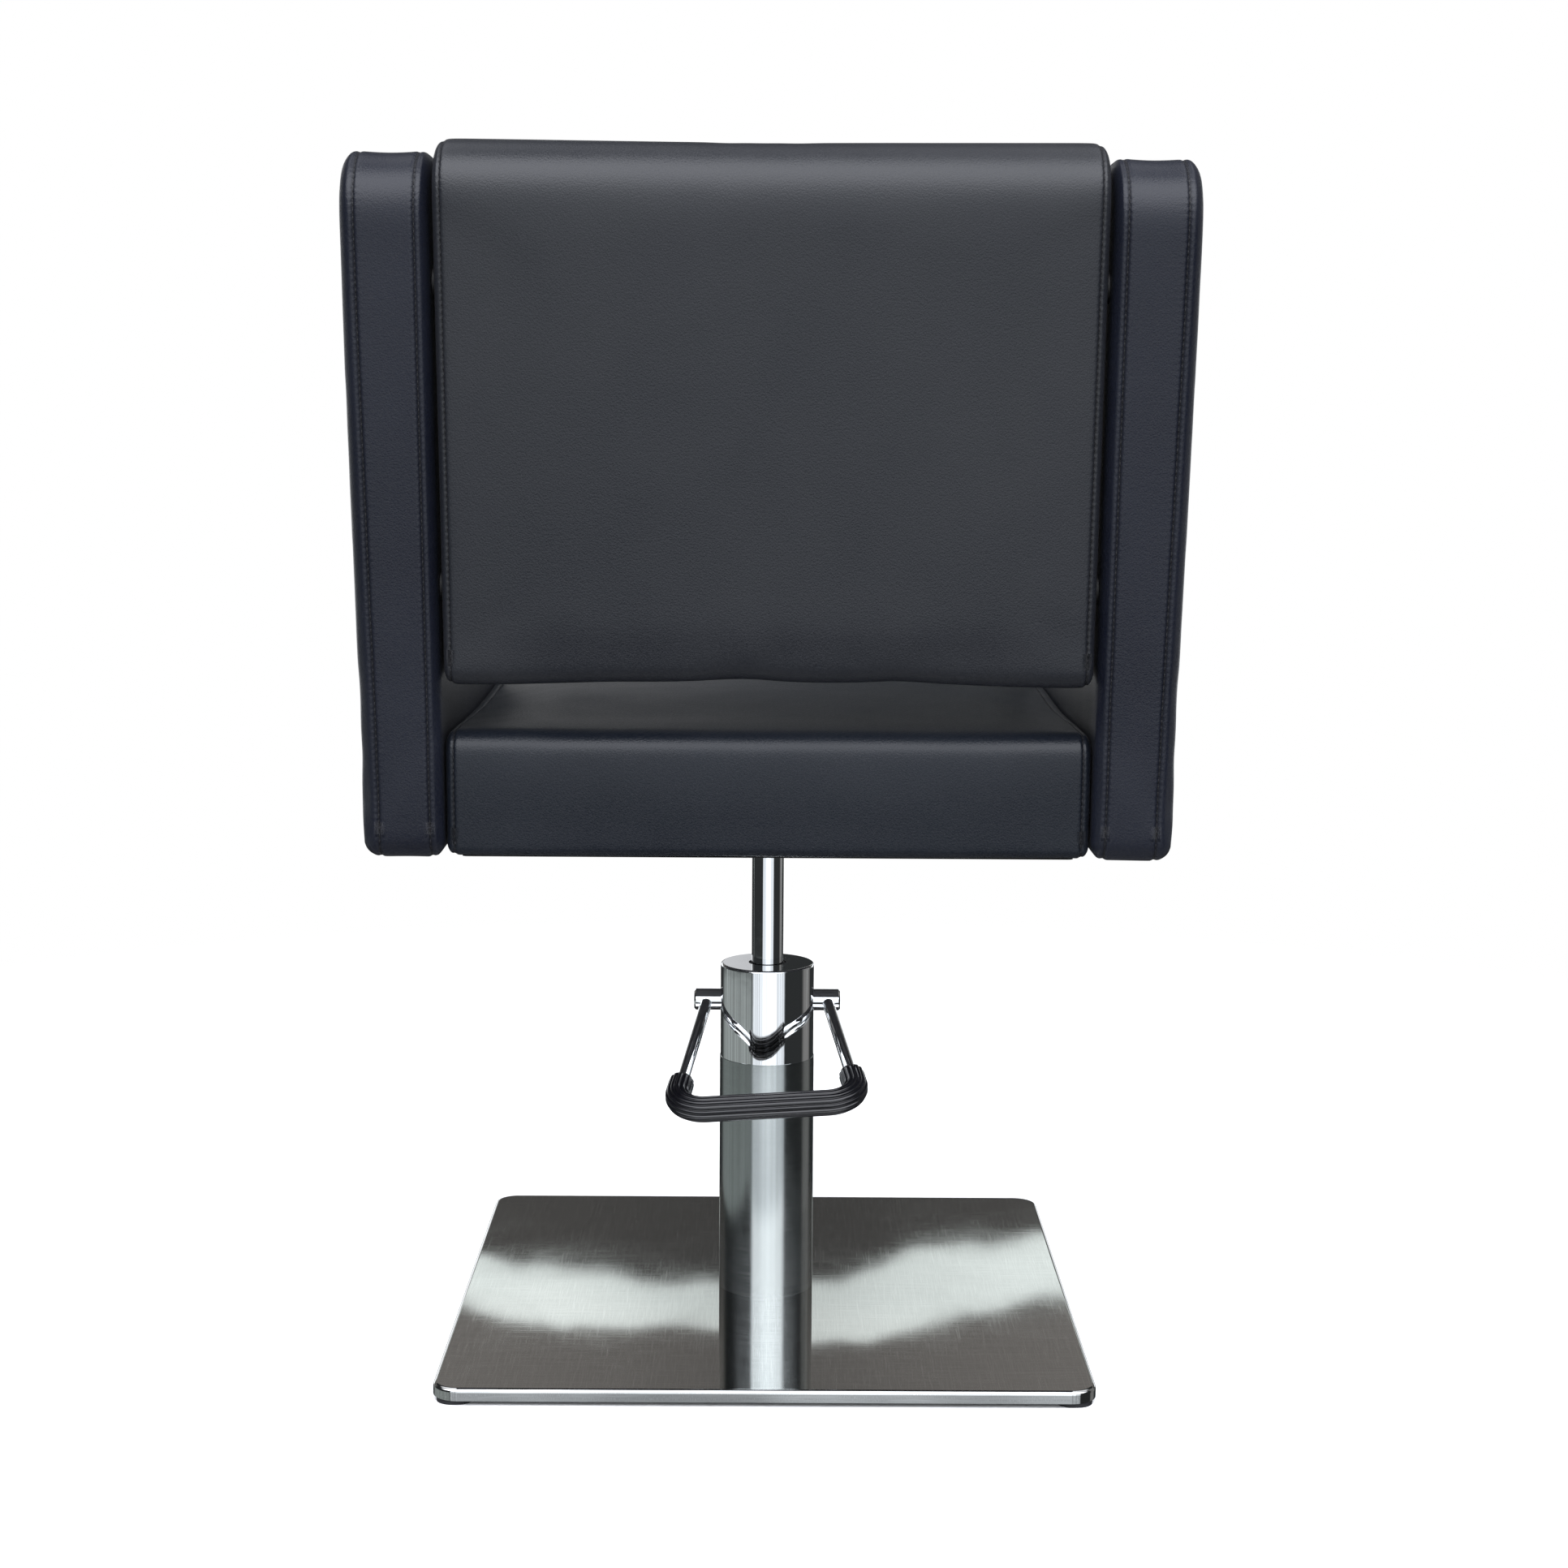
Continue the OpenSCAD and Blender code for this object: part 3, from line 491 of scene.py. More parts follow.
def steel_material(name, dark, light, rough, stretch, metallic=1.0, grain=0.00003):
    """Worked metal: stretch sets the direction and fineness of its tool marks, grain their depth."""
    s = Surface(name, Metallic=metallic)
    lines = s.noise(1.0, 3.0, 0.6, stretch=stretch)
    patches = s.noise(24.0, 4.0, 0.6)
    s.colour(s.blend(s.scaled(patches, 0.0, 1.0, 0.3, 0.7), dark, light))
    s.roughness(s.sum(s.scaled(patches, rough - 0.06, rough + 0.08, 0.3, 0.7), s.scaled(lines, -0.04, 0.04)))
    s.bump(lines, grain, 0.7)
    return s.material


def rubber_material(name, rough, dark=(0.007, 0.007, 0.009), light=(0.018, 0.018, 0.021)):
    """Moulded rubber or nylon with a little dust on it."""
    s = Surface(name, Specular_IOR_Level=0.5)
    dust = s.noise(45.0, 4.0, 0.65)
    grain = s.noise(1500.0, 2.0)
    s.colour(s.blend(s.scaled(dust, 0.0, 1.0, 0.35, 0.8), dark, light))
    s.roughness(s.sum(s.scaled(dust, rough - 0.06, rough + 0.10, 0.3, 0.75), s.scaled(grain, -0.03, 0.03)))
    s.bump(grain, 0.00005, 0.5)
    return s.material


def timber_material(name, light, dark, rings):
    """Planed wood: rings sets the direction and width of its growth rings."""
    s = Surface(name, Roughness=0.6, Specular_IOR_Level=0.35)
    grain = add(
        s.tree,
        "ShaderNodeTexWave",
        {"Vector": s.stretched(rings), "Scale": 1.0, "Distortion": 5.0, "Detail": 3.0, "Detail Scale": 1.4},
    ).outputs["Fac"]
    fibre = s.noise(1.0, 3.0, 0.6, stretch=(60.0, 900.0, 900.0))
    fibred = s.blend(s.scaled(fibre, 0.0, 1.0, 0.3, 0.7), light, dark)
    s.colour(s.blend(s.scaled(grain, 0.0, 0.85), light, fibred))
    s.roughness(s.scaled(fibre, 0.52, 0.70, 0.3, 0.7))
    s.bump(fibre, 0.0001, 0.5)
    return s.material


def cloth_material(name):
    """Non-woven dust cloth: short fibres pressed together."""
    s = Surface(name, Specular_IOR_Level=0.2)
    fibres = s.noise(900.0, 5.0, 0.75, distortion=1.5)
    dots = add(s.tree, "ShaderNodeTexVoronoi", {"Vector": s.place, "Scale": 420.0}).outputs["Distance"]
    s.colour(s.blend(s.scaled(fibres, 0.0, 1.0, 0.35, 0.7), (0.010, 0.010, 0.011), (0.030, 0.030, 0.032)))
    s.roughness(s.scaled(fibres, 0.82, 0.96, 0.3, 0.7))
    s.bump(s.sum(fibres, s.scaled(dots, -0.4, 0.4)), 0.0002, 0.6)
    return s.material


def make_materials():
    """Every material by name. Those that are slots of the record have the slot's name."""
    turned, sprayed, sand_cast = (300.0, 300.0, 1800.0), (260.0, 260.0, 260.0), (420.0, 420.0, 420.0)
    soot, soot_light = (0.020, 0.020, 0.022), (0.034, 0.034, 0.037)
    made = {
        "vinyl": (vinyl_material, (0.006, 0.007, 0.010), (0.010, 0.011, 0.014), 0.40),
        # the side panels and the seat get darker copies of the same vinyl as the backrest: painted shade
        "side_vinyl": (vinyl_material, (0.003, 0.004, 0.009), (0.006, 0.0075, 0.014), 0.33),
        "seat_vinyl": (vinyl_material, (0.003, 0.0045, 0.008), (0.0055, 0.0075, 0.0115), 0.28),
        "thread": (thread_material,),
        "chrome": (chrome_material,),
        "satin_tube": (column_material,),
        "stainless": (base_material,),
        "dark_steel": (steel_material, soot, soot_light, 0.45, sprayed, 0.0, 0.00008),
        "cylinder_steel": (steel_material, (0.34, 0.35, 0.36), (0.46, 0.47, 0.48), 0.34, turned),
        "cast": (steel_material, (0.16, 0.165, 0.17), (0.24, 0.245, 0.25), 0.55, sand_cast, 0.8, 0.0003),
        "bronze": (steel_material, (0.46, 0.30, 0.12), (0.62, 0.43, 0.20), 0.34, turned),
        "zinc": (steel_material, (0.52, 0.55, 0.58), (0.66, 0.67, 0.68), 0.32, turned),
        "rubber": (rubber_material, 0.56),
        "sleeve_rubber": (rubber_material, 0.20, (0.002, 0.002, 0.003), (0.006, 0.006, 0.008)),
        "nylon": (rubber_material, 0.6, (0.002, 0.002, 0.002), (0.004, 0.004, 0.004)),
        "timber": (timber_material, (0.62, 0.45, 0.27), (0.36, 0.22, 0.11), (6.0, 90.0, 90.0)),
        "plywood": (timber_material, (0.66, 0.50, 0.32), (0.45, 0.31, 0.17), (5.0, 20.0, 600.0)),
        "dust_cloth": (cloth_material,),
    }
    return {name: make(name, *values) for name, (make, *values) in made.items()}


def dress_cad_nodes(materials):
    """Every CAD node that still shows gets the procedural material of its slot in the record."""
    own = {"column_tube": "satin_tube"}
    for part in frame["record"]["subparts"]:
        node = frame["nodes"][part["node"]]
        material = materials[own.get(part["node"], part["material_slot"])]
        if node.material_slots:
            node.material_slots[0].material = material
        else:
            node.data.materials.append(material)


# ---------------------------------------------------------------- outlines


def inset_corners(corners, depth):
    """The corners of an anticlockwise outline moved inwards by depth, each with its own radius."""
    points = [np.array(c[:2], float) for c in corners]
    n = len(points)
    moved = []
    for i in range(n):
        before, here, after = points[i - 1], points[i], points[(i + 1) % n]
        a, b = unit(here - before), unit(after - here)
        turn = a[0] * b[1] - a[1] * b[0]
        normal_a, normal_b = np.array((-a[1], a[0])), np.array((-b[1], b[0]))
        place = here + depth * (normal_a + normal_b) / (1 + normal_a @ normal_b)
        radius = corners[i][2] - depth if turn > 0 else corners[i][2] + depth
        moved.append((place[0], place[1], max(radius, 0.3 * MM)))
    return moved


def round_corner(before, here, after, radius, steps):
    """Points on the arc that rounds a corner off."""
    a, b = unit(before - here), unit(after - here)
    half = math.acos(max(-1.0, min(1.0, float(a @ b)))) / 2
    centre = here + unit(a + b) * radius / math.sin(half)
    start_point = here + a * radius / math.tan(half) - centre
    end_point = here + b * radius / math.tan(half) - centre
    start = math.atan2(start_point[1], start_point[0])
    sweep = (math.atan2(end_point[1], end_point[0]) - start + 3 * math.pi) % (2 * math.pi) - math.pi
    angles = [start + sweep * k / steps for k in range(steps + 1)]
    return [centre + radius * np.array((math.cos(t), math.sin(t))) for t in angles]


def outline_points(corners, spacing):
    """A function that gives the outline inset by a depth, always with the same number of points."""

    n = len(corners)
    steps = [max(4, int(round(c[2] * 1.6 / spacing))) for c in corners]

    def arcs_of(depth):
        moved = inset_corners(corners, depth)
        p = [np.array(c[:2]) for c in moved]
        return [round_corner(p[i - 1], p[i], p[(i + 1) % n], moved[i][2], steps[i]) for i in range(n)]

    base = arcs_of(0.0)
    straights = [np.linalg.norm(base[(i + 1) % n][0] - base[i][-1]) for i in range(n)]
    counts = [max(1, int(round(length / spacing))) for length in straights]

    def at(depth):
        arcs = arcs_of(depth)
        points = []
        for i in range(n):
            points += arcs[i]
            here, there = arcs[i][-1], arcs[(i + 1) % n][0]
            points += [here + (there - here) * k / counts[i] for k in range(1, counts[i])]
        return np.array(points)

    return at


def inside(point, outline):
    """True if a point lies inside a closed outline."""
    y, z = point
    a, b = outline, np.roll(outline, -1, axis=0)
    crossing = (a[:, 1] > z) != (b[:, 1] > z)
    with np.errstate(divide="ignore", invalid="ignore"):
        at = (b[:, 0] - a[:, 0]) * (z - a[:, 1]) / (b[:, 1] - a[:, 1]) + a[:, 0]
    return bool(np.count_nonzero(crossing & (y < at)) % 2)


# ---------------------------------------------------------------- upholstery


class Pad:
    """An upholstered block: a cover over an outline in (Y, Z) carried along X, with a rolled edge
    and a topstitched seam round both ends. Rows of points run round the outline, one for each
    distance across the block; the two end faces are filled with their own grid."""

    def __init__(self, name, corners, x0, x1, roll, seams, spacing):
        self.name = name
        self.at = outline_points(corners, spacing)
        self.x0, self.x1, self.roll, self.spacing = x0, x1, roll, spacing
        width = x1 - x0
        edges = []
        for distance in seams:
            last = math.acos(1 - min(distance / roll, 1.0))
            edges.append([roll * (1 - math.cos(last * k / 3)) for k in range(3)] + [distance])
        low, high = (max(roll, distance) + 4 * MM for distance in seams)
        middle = max(2, int(round((width - low - high) / spacing)))
        flat = [low + (width - low - high) * k / middle for k in range(middle + 1)]
        self.across = edges[0] + flat + [width - d for d in reversed(edges[1])]
        self.seam_rows = [3, len(self.across) - 4]

    def depth(self, across):
        """How far the outline is inset by the rolled edge, at a distance across the block."""
        d = min(across, self.x1 - self.x0 - across)
        if d >= self.roll:
            return 0.0
        return self.roll - math.sqrt(max(0.0, self.roll**2 - (self.roll - d) ** 2))

    def build(self, start_inset):
        """The coarse closed mesh: points and faces, with the rows first."""
        rows = []
        for d in self.across:
            ring = self.at(self.depth(d) + start_inset)
            rows.append(np.column_stack((np.full(len(ring), self.x0 + d), ring)))
        self.count = len(rows[0])
        n, r = self.count, len(rows)
        points = [tuple(p) for row in rows for p in row]
        faces = tube_faces(r, n)
        edge = rows[0][:, 1:]
        low, high = edge.min(0), edge.max(0)
        step = self.spacing * 1.1
        shrunk = self.at(self.roll + start_inset + step * 0.6)
        grid = [
            (y, z)
            for y in np.arange(low[0] + step / 2, high[0], step)
            for z in np.arange(low[1] + step / 2, high[1], step)
            if inside((y, z), shrunk)
        ]
        flat = [Vector(p) for p in edge] + [Vector(p) for p in grid]
        loop = [(i, (i + 1) % n) for i in range(n)]
        made = delaunay_2d_cdt(flat, loop, [list(range(n))], 1, 1e-7)
        triangles = [tuple(made[3][v][0] for v in face) for face in made[2]]
        for row, x in ((0, self.x0), (r - 1, self.x1)):
            start = len(points)
            points += [(x, y, z) for y, z in grid]
            place = [row * n + i if i < n else start + i - n for i in range(n + len(grid))]
            facing = triangles if row == 0 else [t[::-1] for t in triangles]
            faces += [tuple(place[v] for v in t) for t in facing]
        self.faces = faces
        return np.array(points)

    def object(self, points, name=None):
        mesh = bpy.data.meshes.new(name or self.name)
        mesh.from_pydata([tuple(p) for p in points], [], self.faces)
        work = bmesh.new()
        work.from_mesh(mesh)
        bmesh.ops.join_triangles(
            work,
            faces=[f for f in work.faces if len(f.verts) == 3],
            angle_face_threshold=0.6,
            angle_shape_threshold=0.9,
        )
        bmesh.ops.recalc_face_normals(work, faces=work.faces)
        work.to_mesh(mesh)
        work.free()
        return new_object(name or self.name, mesh)

    def refine(self, points, lines):
        """Adds rows beside each seam, at the distances in lines, and returns the finer points
        with the distance of each from its seam."""
        n, r = self.count, len(self.across)
        rows = points[: n * r].reshape(r, n, 3)
        caps = points[n * r :]
        nominal = [np.array((self.x0 + d, self.depth(d))) for d in self.across]
        along = running_length(np.array(nominal))
        seams = [along[k] for k in self.seam_rows]
        wanted = {s + side * d for s in seams for d in lines for side in (-1, 1)}

        def kept(s):
            """True for a coarse row that is a seam or has no extra row close to it."""
            return s in seams or all(abs(s - w) > 0.6 * MM for w in wanted)

        places = sorted([s for s in wanted if along[0] < s < along[-1]] + [s for s in along if kept(s)])
        tangents = np.zeros_like(rows)
        for k in range(r):
            low, high = max(k - 1, 0), min(k + 1, r - 1)
            tangents[k] = (rows[high] - rows[low]) / (along[high] - along[low])
        fine = []
        for s in places:
            k = min(max(int(np.searchsorted(along, s)) - 1, 0), r - 2)
            h = along[k + 1] - along[k]
            t = (s - along[k]) / h
            fine.append(
                (2 * t**3 - 3 * t**2 + 1) * rows[k]
                + (t**3 - 2 * t**2 + t) * h * tangents[k]
                + (3 * t**2 - 2 * t**3) * rows[k + 1]
                + (t**3 - t**2) * h * tangents[k + 1]
            )
        distance = np.array([min((s - c for c in seams), key=abs) for s in places])
        self.fine_rows = len(fine)
        self.fine_seams = [int(np.argmin([abs(p - c) for p in places])) for c in seams]
        shift = (len(fine) - r) * n

        def moved(v):
            if v >= n * r:
                return v + shift
            row, j = divmod(v, n)
            return j if row == 0 else (len(fine) - 1) * n + j

        band = (r - 1) * n
        self.faces = tube_faces(len(fine), n) + [tuple(moved(v) for v in face) for face in self.faces[band:]]
        far = 50 * MM
        return (
            np.vstack((np.vstack(fine), caps)),
            np.concatenate((np.repeat(distance, n), np.full(len(caps), far))),
        )


def inflate(pad, points, pressure, stiffness, held, cap):
    """Blows the cover up as cloth from inside, with no gravity, and limits how far any point moves.
    held is 0 to 1 for each point: how firmly it stays where it is."""
    work = pad.object(points, "cloth_work")
    group = work.vertex_groups.new(name="held")
    for i, share in enumerate(held):
        if share > 0:
            group.add([i], float(share), "REPLACE")
    frames = 20
    modifier = work.modifiers.new("cloth", "CLOTH")
    settings = modifier.settings
    settings.quality = 6
    settings.mass = 0.3
    settings.tension_stiffness = settings.compression_stiffness = stiffness
    settings.shear_stiffness = stiffness / 3
    settings.bending_stiffness = 1.5
    settings.use_pressure = True
    settings.uniform_pressure_force = pressure
    settings.vertex_group_mass = "held"
    settings.effector_weights.gravity = 0
    modifier.collision_settings.use_collision = False
    modifier.point_cache.frame_start, modifier.point_cache.frame_end = 1, frames
    scene = bpy.context.scene
    for number in range(1, frames + 1):
        scene.frame_set(number)
    blown = work.evaluated_get(bpy.context.evaluated_depsgraph_get())
    result = np.array([v.co for v in blown.data.vertices], float)
    bpy.data.objects.remove(work)
    scene.frame_set(1)
    move = result - points
    length = np.linalg.norm(move, axis=1)
    share = np.minimum(1.0, cap / np.maximum(length, 1e-9))
    return points + move * share[:, None]


def mesh_normals(points, faces):
    """The outward normal at each point of a closed mesh."""
    mesh = bpy.data.meshes.new("normals")
    mesh.from_pydata([tuple(p) for p in points], [], faces)
    work = bmesh.new()
    work.from_mesh(mesh)
    bmesh.ops.recalc_face_normals(work, faces=work.faces)
    work.normal_update()
    work.verts.ensure_lookup_table()
    normals = np.array([v.normal for v in work.verts], float)
    work.free()
    bpy.data.meshes.remove(mesh)
    return normals


def waves(points, scale, seed):
    """Smooth noise from about -1 to 1 at each point."""
    shift = Vector((seed * 3.7, seed * 1.9, seed * 2.3))
    return np.array([noise.noise(Vector(p) * scale + shift) for p in points])


def sew(pad, points, seed, puff, evenness=1.0):
    """Presses the seams in, lets the cover stand up on both sides of them, and adds slight unevenness."""
    points, distance = pad.refine(points, (0.9 * MM, 2.0 * MM, 3.8 * MM))
    normals = mesh_normals(points, pad.faces)
    # in millimetres from here on
    far = np.abs(distance) / MM
    valley = -1.25 * np.exp(-((far / 1.0) ** 2)) + puff * np.exp(-(((far - 3.6) / 1.9) ** 2))
    uneven = evenness * (0.30 * waves(points, 9.0, seed) + 0.16 * waves(points, 31.0, seed + 1))
    rumple = 0.20 * np.exp(-((far / 5.0) ** 2)) * waves(points, 75.0, seed + 2)
    points = points + normals * ((valley + uneven + rumple) * MM)[:, None]
    return points, distance


def finish_pad(pad, points, distance, body, materials, stitch_gap, shade_copy="vinyl"):
    """The finished cover: a smoothed mesh with its seam attributes, and the thread of its seams.
    No stitch is made where stitch_gap, a function of a place, is true."""
    cover = pad.object(points)
    n, rows = pad.count, pad.fine_rows
    ring = points[pad.fine_seams[0] * n : (pad.fine_seams[0] + 1) * n]
    along = np.concatenate((np.tile(running_length(ring), rows), np.zeros(len(points) - n * rows)))
    far = np.abs(distance) / MM
    for name, values in (
        # seam is the closeness to the seam line; the vinyl reads it for duller roughness and for painted
        # shade in the groove
        ("seam", np.exp(-((far / 0.9) ** 2))),
        ("pucker", np.exp(-(((far - 1.2) / 1.6) ** 2))),
        ("along", along),
    ):
        layer = cover.data.attributes.new(name, "FLOAT", "POINT")
        layer.data.foreach_set("value", values.astype(np.float32))
    smooth = cover.modifiers.new("smooth", "SUBSURF")
    smooth.levels = smooth.render_levels = 2
    # the cover's material is the plain vinyl or one of its darker copies that carry painted shade
    finish_mesh(cover, materials[shade_copy])
    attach(cover, body)

    tree = BVHTree.FromObject(cover, bpy.context.evaluated_depsgraph_get())
    for label, row in zip(("a", "b"), pad.fine_seams):
        loop = points[row * n : (row + 1) * n]
        thread = stitches(f"{pad.name}_stitching_{label}", loop, tree, stitch_gap, materials["thread"])
        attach(thread, body)
    return cover


def stitches(name, loop, tree, gap, material):
    """A row of topstitches along a closed loop of points, each pulled into the cover at its ends."""
    length, radius, sides = 3.5 * MM, 0.42 * MM, 6
    closed = np.vstack((loop, loop[:1]))
    reach = running_length(closed)
    number = int(reach[-1] / STITCH_PITCH)

    def spot(s):
        s = s % reach[-1]
        return np.array([np.interp(s, reach, closed[:, k]) for k in range(3)])

    points, faces = [], []
    # rings along a stitch: the place as a share of its length, then thickness and lift in radii
    sections = (
        (-0.5, 0.35, -0.55),
        (-0.38, 0.9, 0.05),
        (0.0, 1.0, 0.28),
        (0.38, 0.9, 0.05),
        (0.5, 0.35, -0.55),
    )
    for i in range(number):
        middle = (i + 0.5) * reach[-1] / number
        centre = spot(middle)
        if gap(centre):
            continue
        start = len(points)
        for share, thickness, lift in sections:
            s = middle + share * length
            place, normal, _, _ = tree.find_nearest(Vector(spot(s)))
            if place is None:
                continue
            direction = Vector(unit(spot(s + 0.4 * MM) - spot(s - 0.4 * MM)))
            side = direction.cross(normal).normalized()
            up = side.cross(direction).normalized()
            if up.dot(normal) < 0:
                up = -up
            base = place + up * (radius * lift)
            for k in range(sides):
                t = 2 * math.pi * k / sides
                points.append(base + (side * math.cos(t) + up * math.sin(t)) * radius * thickness)
        faces += tube_faces(len(sections), sides, start) + end_faces(len(sections), sides, start)
    mesh = outward_mesh(name, points, faces)
    mesh.polygons.foreach_set("use_smooth", [True] * len(mesh.polygons))
    mesh.materials.append(material)
    return new_object(name, mesh)


# How far apart the points of the upholstery lie before it is blown up and smoothed.
CELL = 13 * MM
# The chair's own measures, in metres, as in the CAD source.
RECLINE = math.radians(7)
SEAT_REAR, SEAT_BOTTOM, SEAT_TOP = 0.198, 0.407, 0.503
SEAT_HALF_W = 0.2415
FRONT = 0.25701
BACK_V0, BACK_V1, BACK_T = 0.13098, 0.52172, 0.075
PANEL_T, PANEL_TOP, PANEL_FRONT = 0.061, 0.9205, 0.24901
WING_DEPTH, ARM_Z = 0.118, 0.690


def leaned(t, v):
    """A place on the reclined parts: t forward from the rear face, v up along it."""
    return (
        -SEAT_REAR + t * math.cos(RECLINE) - v * math.sin(RECLINE),
        SEAT_BOTTOM + t * math.sin(RECLINE) + v * math.cos(RECLINE),
    )


def unleaned(points):
    """The inverse of leaned, for points in space."""
    back, up = points[:, 1] + SEAT_REAR, points[:, 2] - SEAT_BOTTOM
    return (
        back * math.cos(RECLINE) + up * math.sin(RECLINE),
        -back * math.sin(RECLINE) + up * math.cos(RECLINE),
    )


def rear_line(z, depth):
    """Where the reclined rear line, moved forward by depth, crosses a height."""
    return -SEAT_REAR - (z - SEAT_BOTTOM) * math.tan(RECLINE) + depth / math.cos(RECLINE)


def seat_corners():
    return [
        (-SEAT_REAR, SEAT_BOTTOM, 8 * MM),
        (FRONT, SEAT_BOTTOM, 10 * MM),
        (FRONT, SEAT_TOP, 30 * MM),
        (-SEAT_REAR, SEAT_TOP, 18 * MM),
    ]


def back_corners():
    return [
        (*leaned(0, BACK_V0), 14 * MM),
        (*leaned(BACK_T, BACK_V0), 14 * MM),
        (*leaned(BACK_T, BACK_V1), 26 * MM),
        (*leaned(0, BACK_V1), 40 * MM),
    ]


def panel_corners():
    return [
        (rear_line(SEAT_BOTTOM, 0), SEAT_BOTTOM, 16 * MM),
        (PANEL_FRONT, SEAT_BOTTOM, 34 * MM),
        (PANEL_FRONT, ARM_Z, 46 * MM),
        (rear_line(ARM_Z, WING_DEPTH), ARM_Z, 90 * MM),
        (rear_line(PANEL_TOP, WING_DEPTH), PANEL_TOP, 34 * MM),
        (rear_line(PANEL_TOP, 0), PANEL_TOP, 45 * MM),
    ]


def never(place):
    return False


def make_seat(materials):
    half = SEAT_HALF_W - 0.4 * MM
    pad = Pad("seat_cushion", seat_corners(), -half, half, 9.5 * MM, (6.5 * MM, 6.5 * MM), CELL)
    start = pad.build(0.8 * MM)
    y, z = start[:, 1], start[:, 2]
    # held flat on the frame below and against the panels, and drawn tight at the rear
    held = np.clip(1.0 - ramp(z, SEAT_BOTTOM + 0.005, SEAT_BOTTOM + 0.030), 0, 1)
    held = np.maximum(held, 0.9 * (np.abs(start[:, 0]) > SEAT_HALF_W - 2 * MM))
    points = inflate(pad, start, 4.0, 14.0, held, 13 * MM)
    calm = 0.12 + 0.88 * ramp(y, -SEAT_REAR + 0.01, -SEAT_REAR + 0.20)
    points = start + (points - start) * calm[:, None]
    points[:, 0] = np.clip(points[:, 0], -half, half)
    points[:, 2] = np.maximum(points[:, 2], SEAT_BOTTOM)
    points, distance = sew(pad, points, 11, 0.30, 2.0)
    points[:, 2] = np.maximum(points[:, 2], SEAT_BOTTOM)
    # the foam is packed firm against the panels towards the front
    side = ramp(np.abs(points[:, 0]), 0.205, 0.238) * ramp(points[:, 1], 0.02, 0.18)
    points[:, 2] += 4.0 * MM * side * ramp(points[:, 2], SEAT_TOP - 0.030, SEAT_TOP - 0.012)
    # the rear face stands out most just below its top edge and falls back a little towards the frame
    rear = 1 - ramp(points[:, 1], -SEAT_REAR, -SEAT_REAR + 0.05)
    points[:, 1] += 5.0 * MM * rear * (1 - ramp(points[:, 2], SEAT_BOTTOM - 0.01, SEAT_TOP - 0.02))
    # the cover hangs a little below the frame along the rear edge
    rear = 1 - ramp(points[:, 1], -SEAT_REAR, -SEAT_REAR + 0.03)
    points[:, 2] -= 1.2 * MM * rear * (points[:, 2] < SEAT_BOTTOM + 0.02)

    def bare(place):
        """The seam isn't stitched underneath."""
        return place[2] < SEAT_BOTTOM + 2 * MM

    # the seat's cover takes a darker copy of the vinyl: painted shade
    cover = finish_pad(pad, points, distance, "chair", materials, bare, "seat_vinyl")
    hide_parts("seat_pad")


def make_back(materials):
    half = SEAT_HALF_W - 2.2 * MM
    pad = Pad("back_cushion", back_corners(), -half, half, 10.5 * MM, (5.5 * MM, 5.5 * MM), CELL)
    start = pad.build(0.8 * MM)
    t, v = unleaned(start)
    held = 0.9 * (np.abs(start[:, 0]) > half - 2 * MM)
    points = inflate(pad, start, 4.0, 14.0, held, 15 * MM)
    # the foam is thick on the sitter's side and thin over the board behind
    calm = 0.14 + 0.86 * ramp(t, 0.02, BACK_T)
    # and drawn tight over the frame's top and bottom rails
    calm *= 1 - 0.7 * ramp(v, BACK_V1 - 0.060, BACK_V1 - 0.015)
    calm *= 1 - 0.6 * (1 - ramp(v, BACK_V0 + 0.010, BACK_V0 + 0.050))
    points = start + (points - start) * calm[:, None]
    points[:, 0] = np.clip(points[:, 0], -half, half)
    points, distance = sew(pad, points, 23, 0.25, 0.3)
    # shallow dents along the lower rear edge, where the cover is closed
    x = points[:, 0]
    _, v = unleaned(points)
    low = 1 - ramp(v, BACK_V0, BACK_V0 + 0.026)
    dents = 2.2 * np.exp(-(((x + 0.022) / 0.030) ** 2)) + 1.5 * np.exp(-(((x - 0.095) / 0.024) ** 2))
    points[:, 1] += dents * low * MM * 0.8
    points[:, 2] += (dents - 2.4 * ramp(np.abs(x), 0.10, 0.21)) * low * MM
    cover = finish_pad(pad, points, distance, "chair", materials, never)
    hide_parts("backrest_pad")


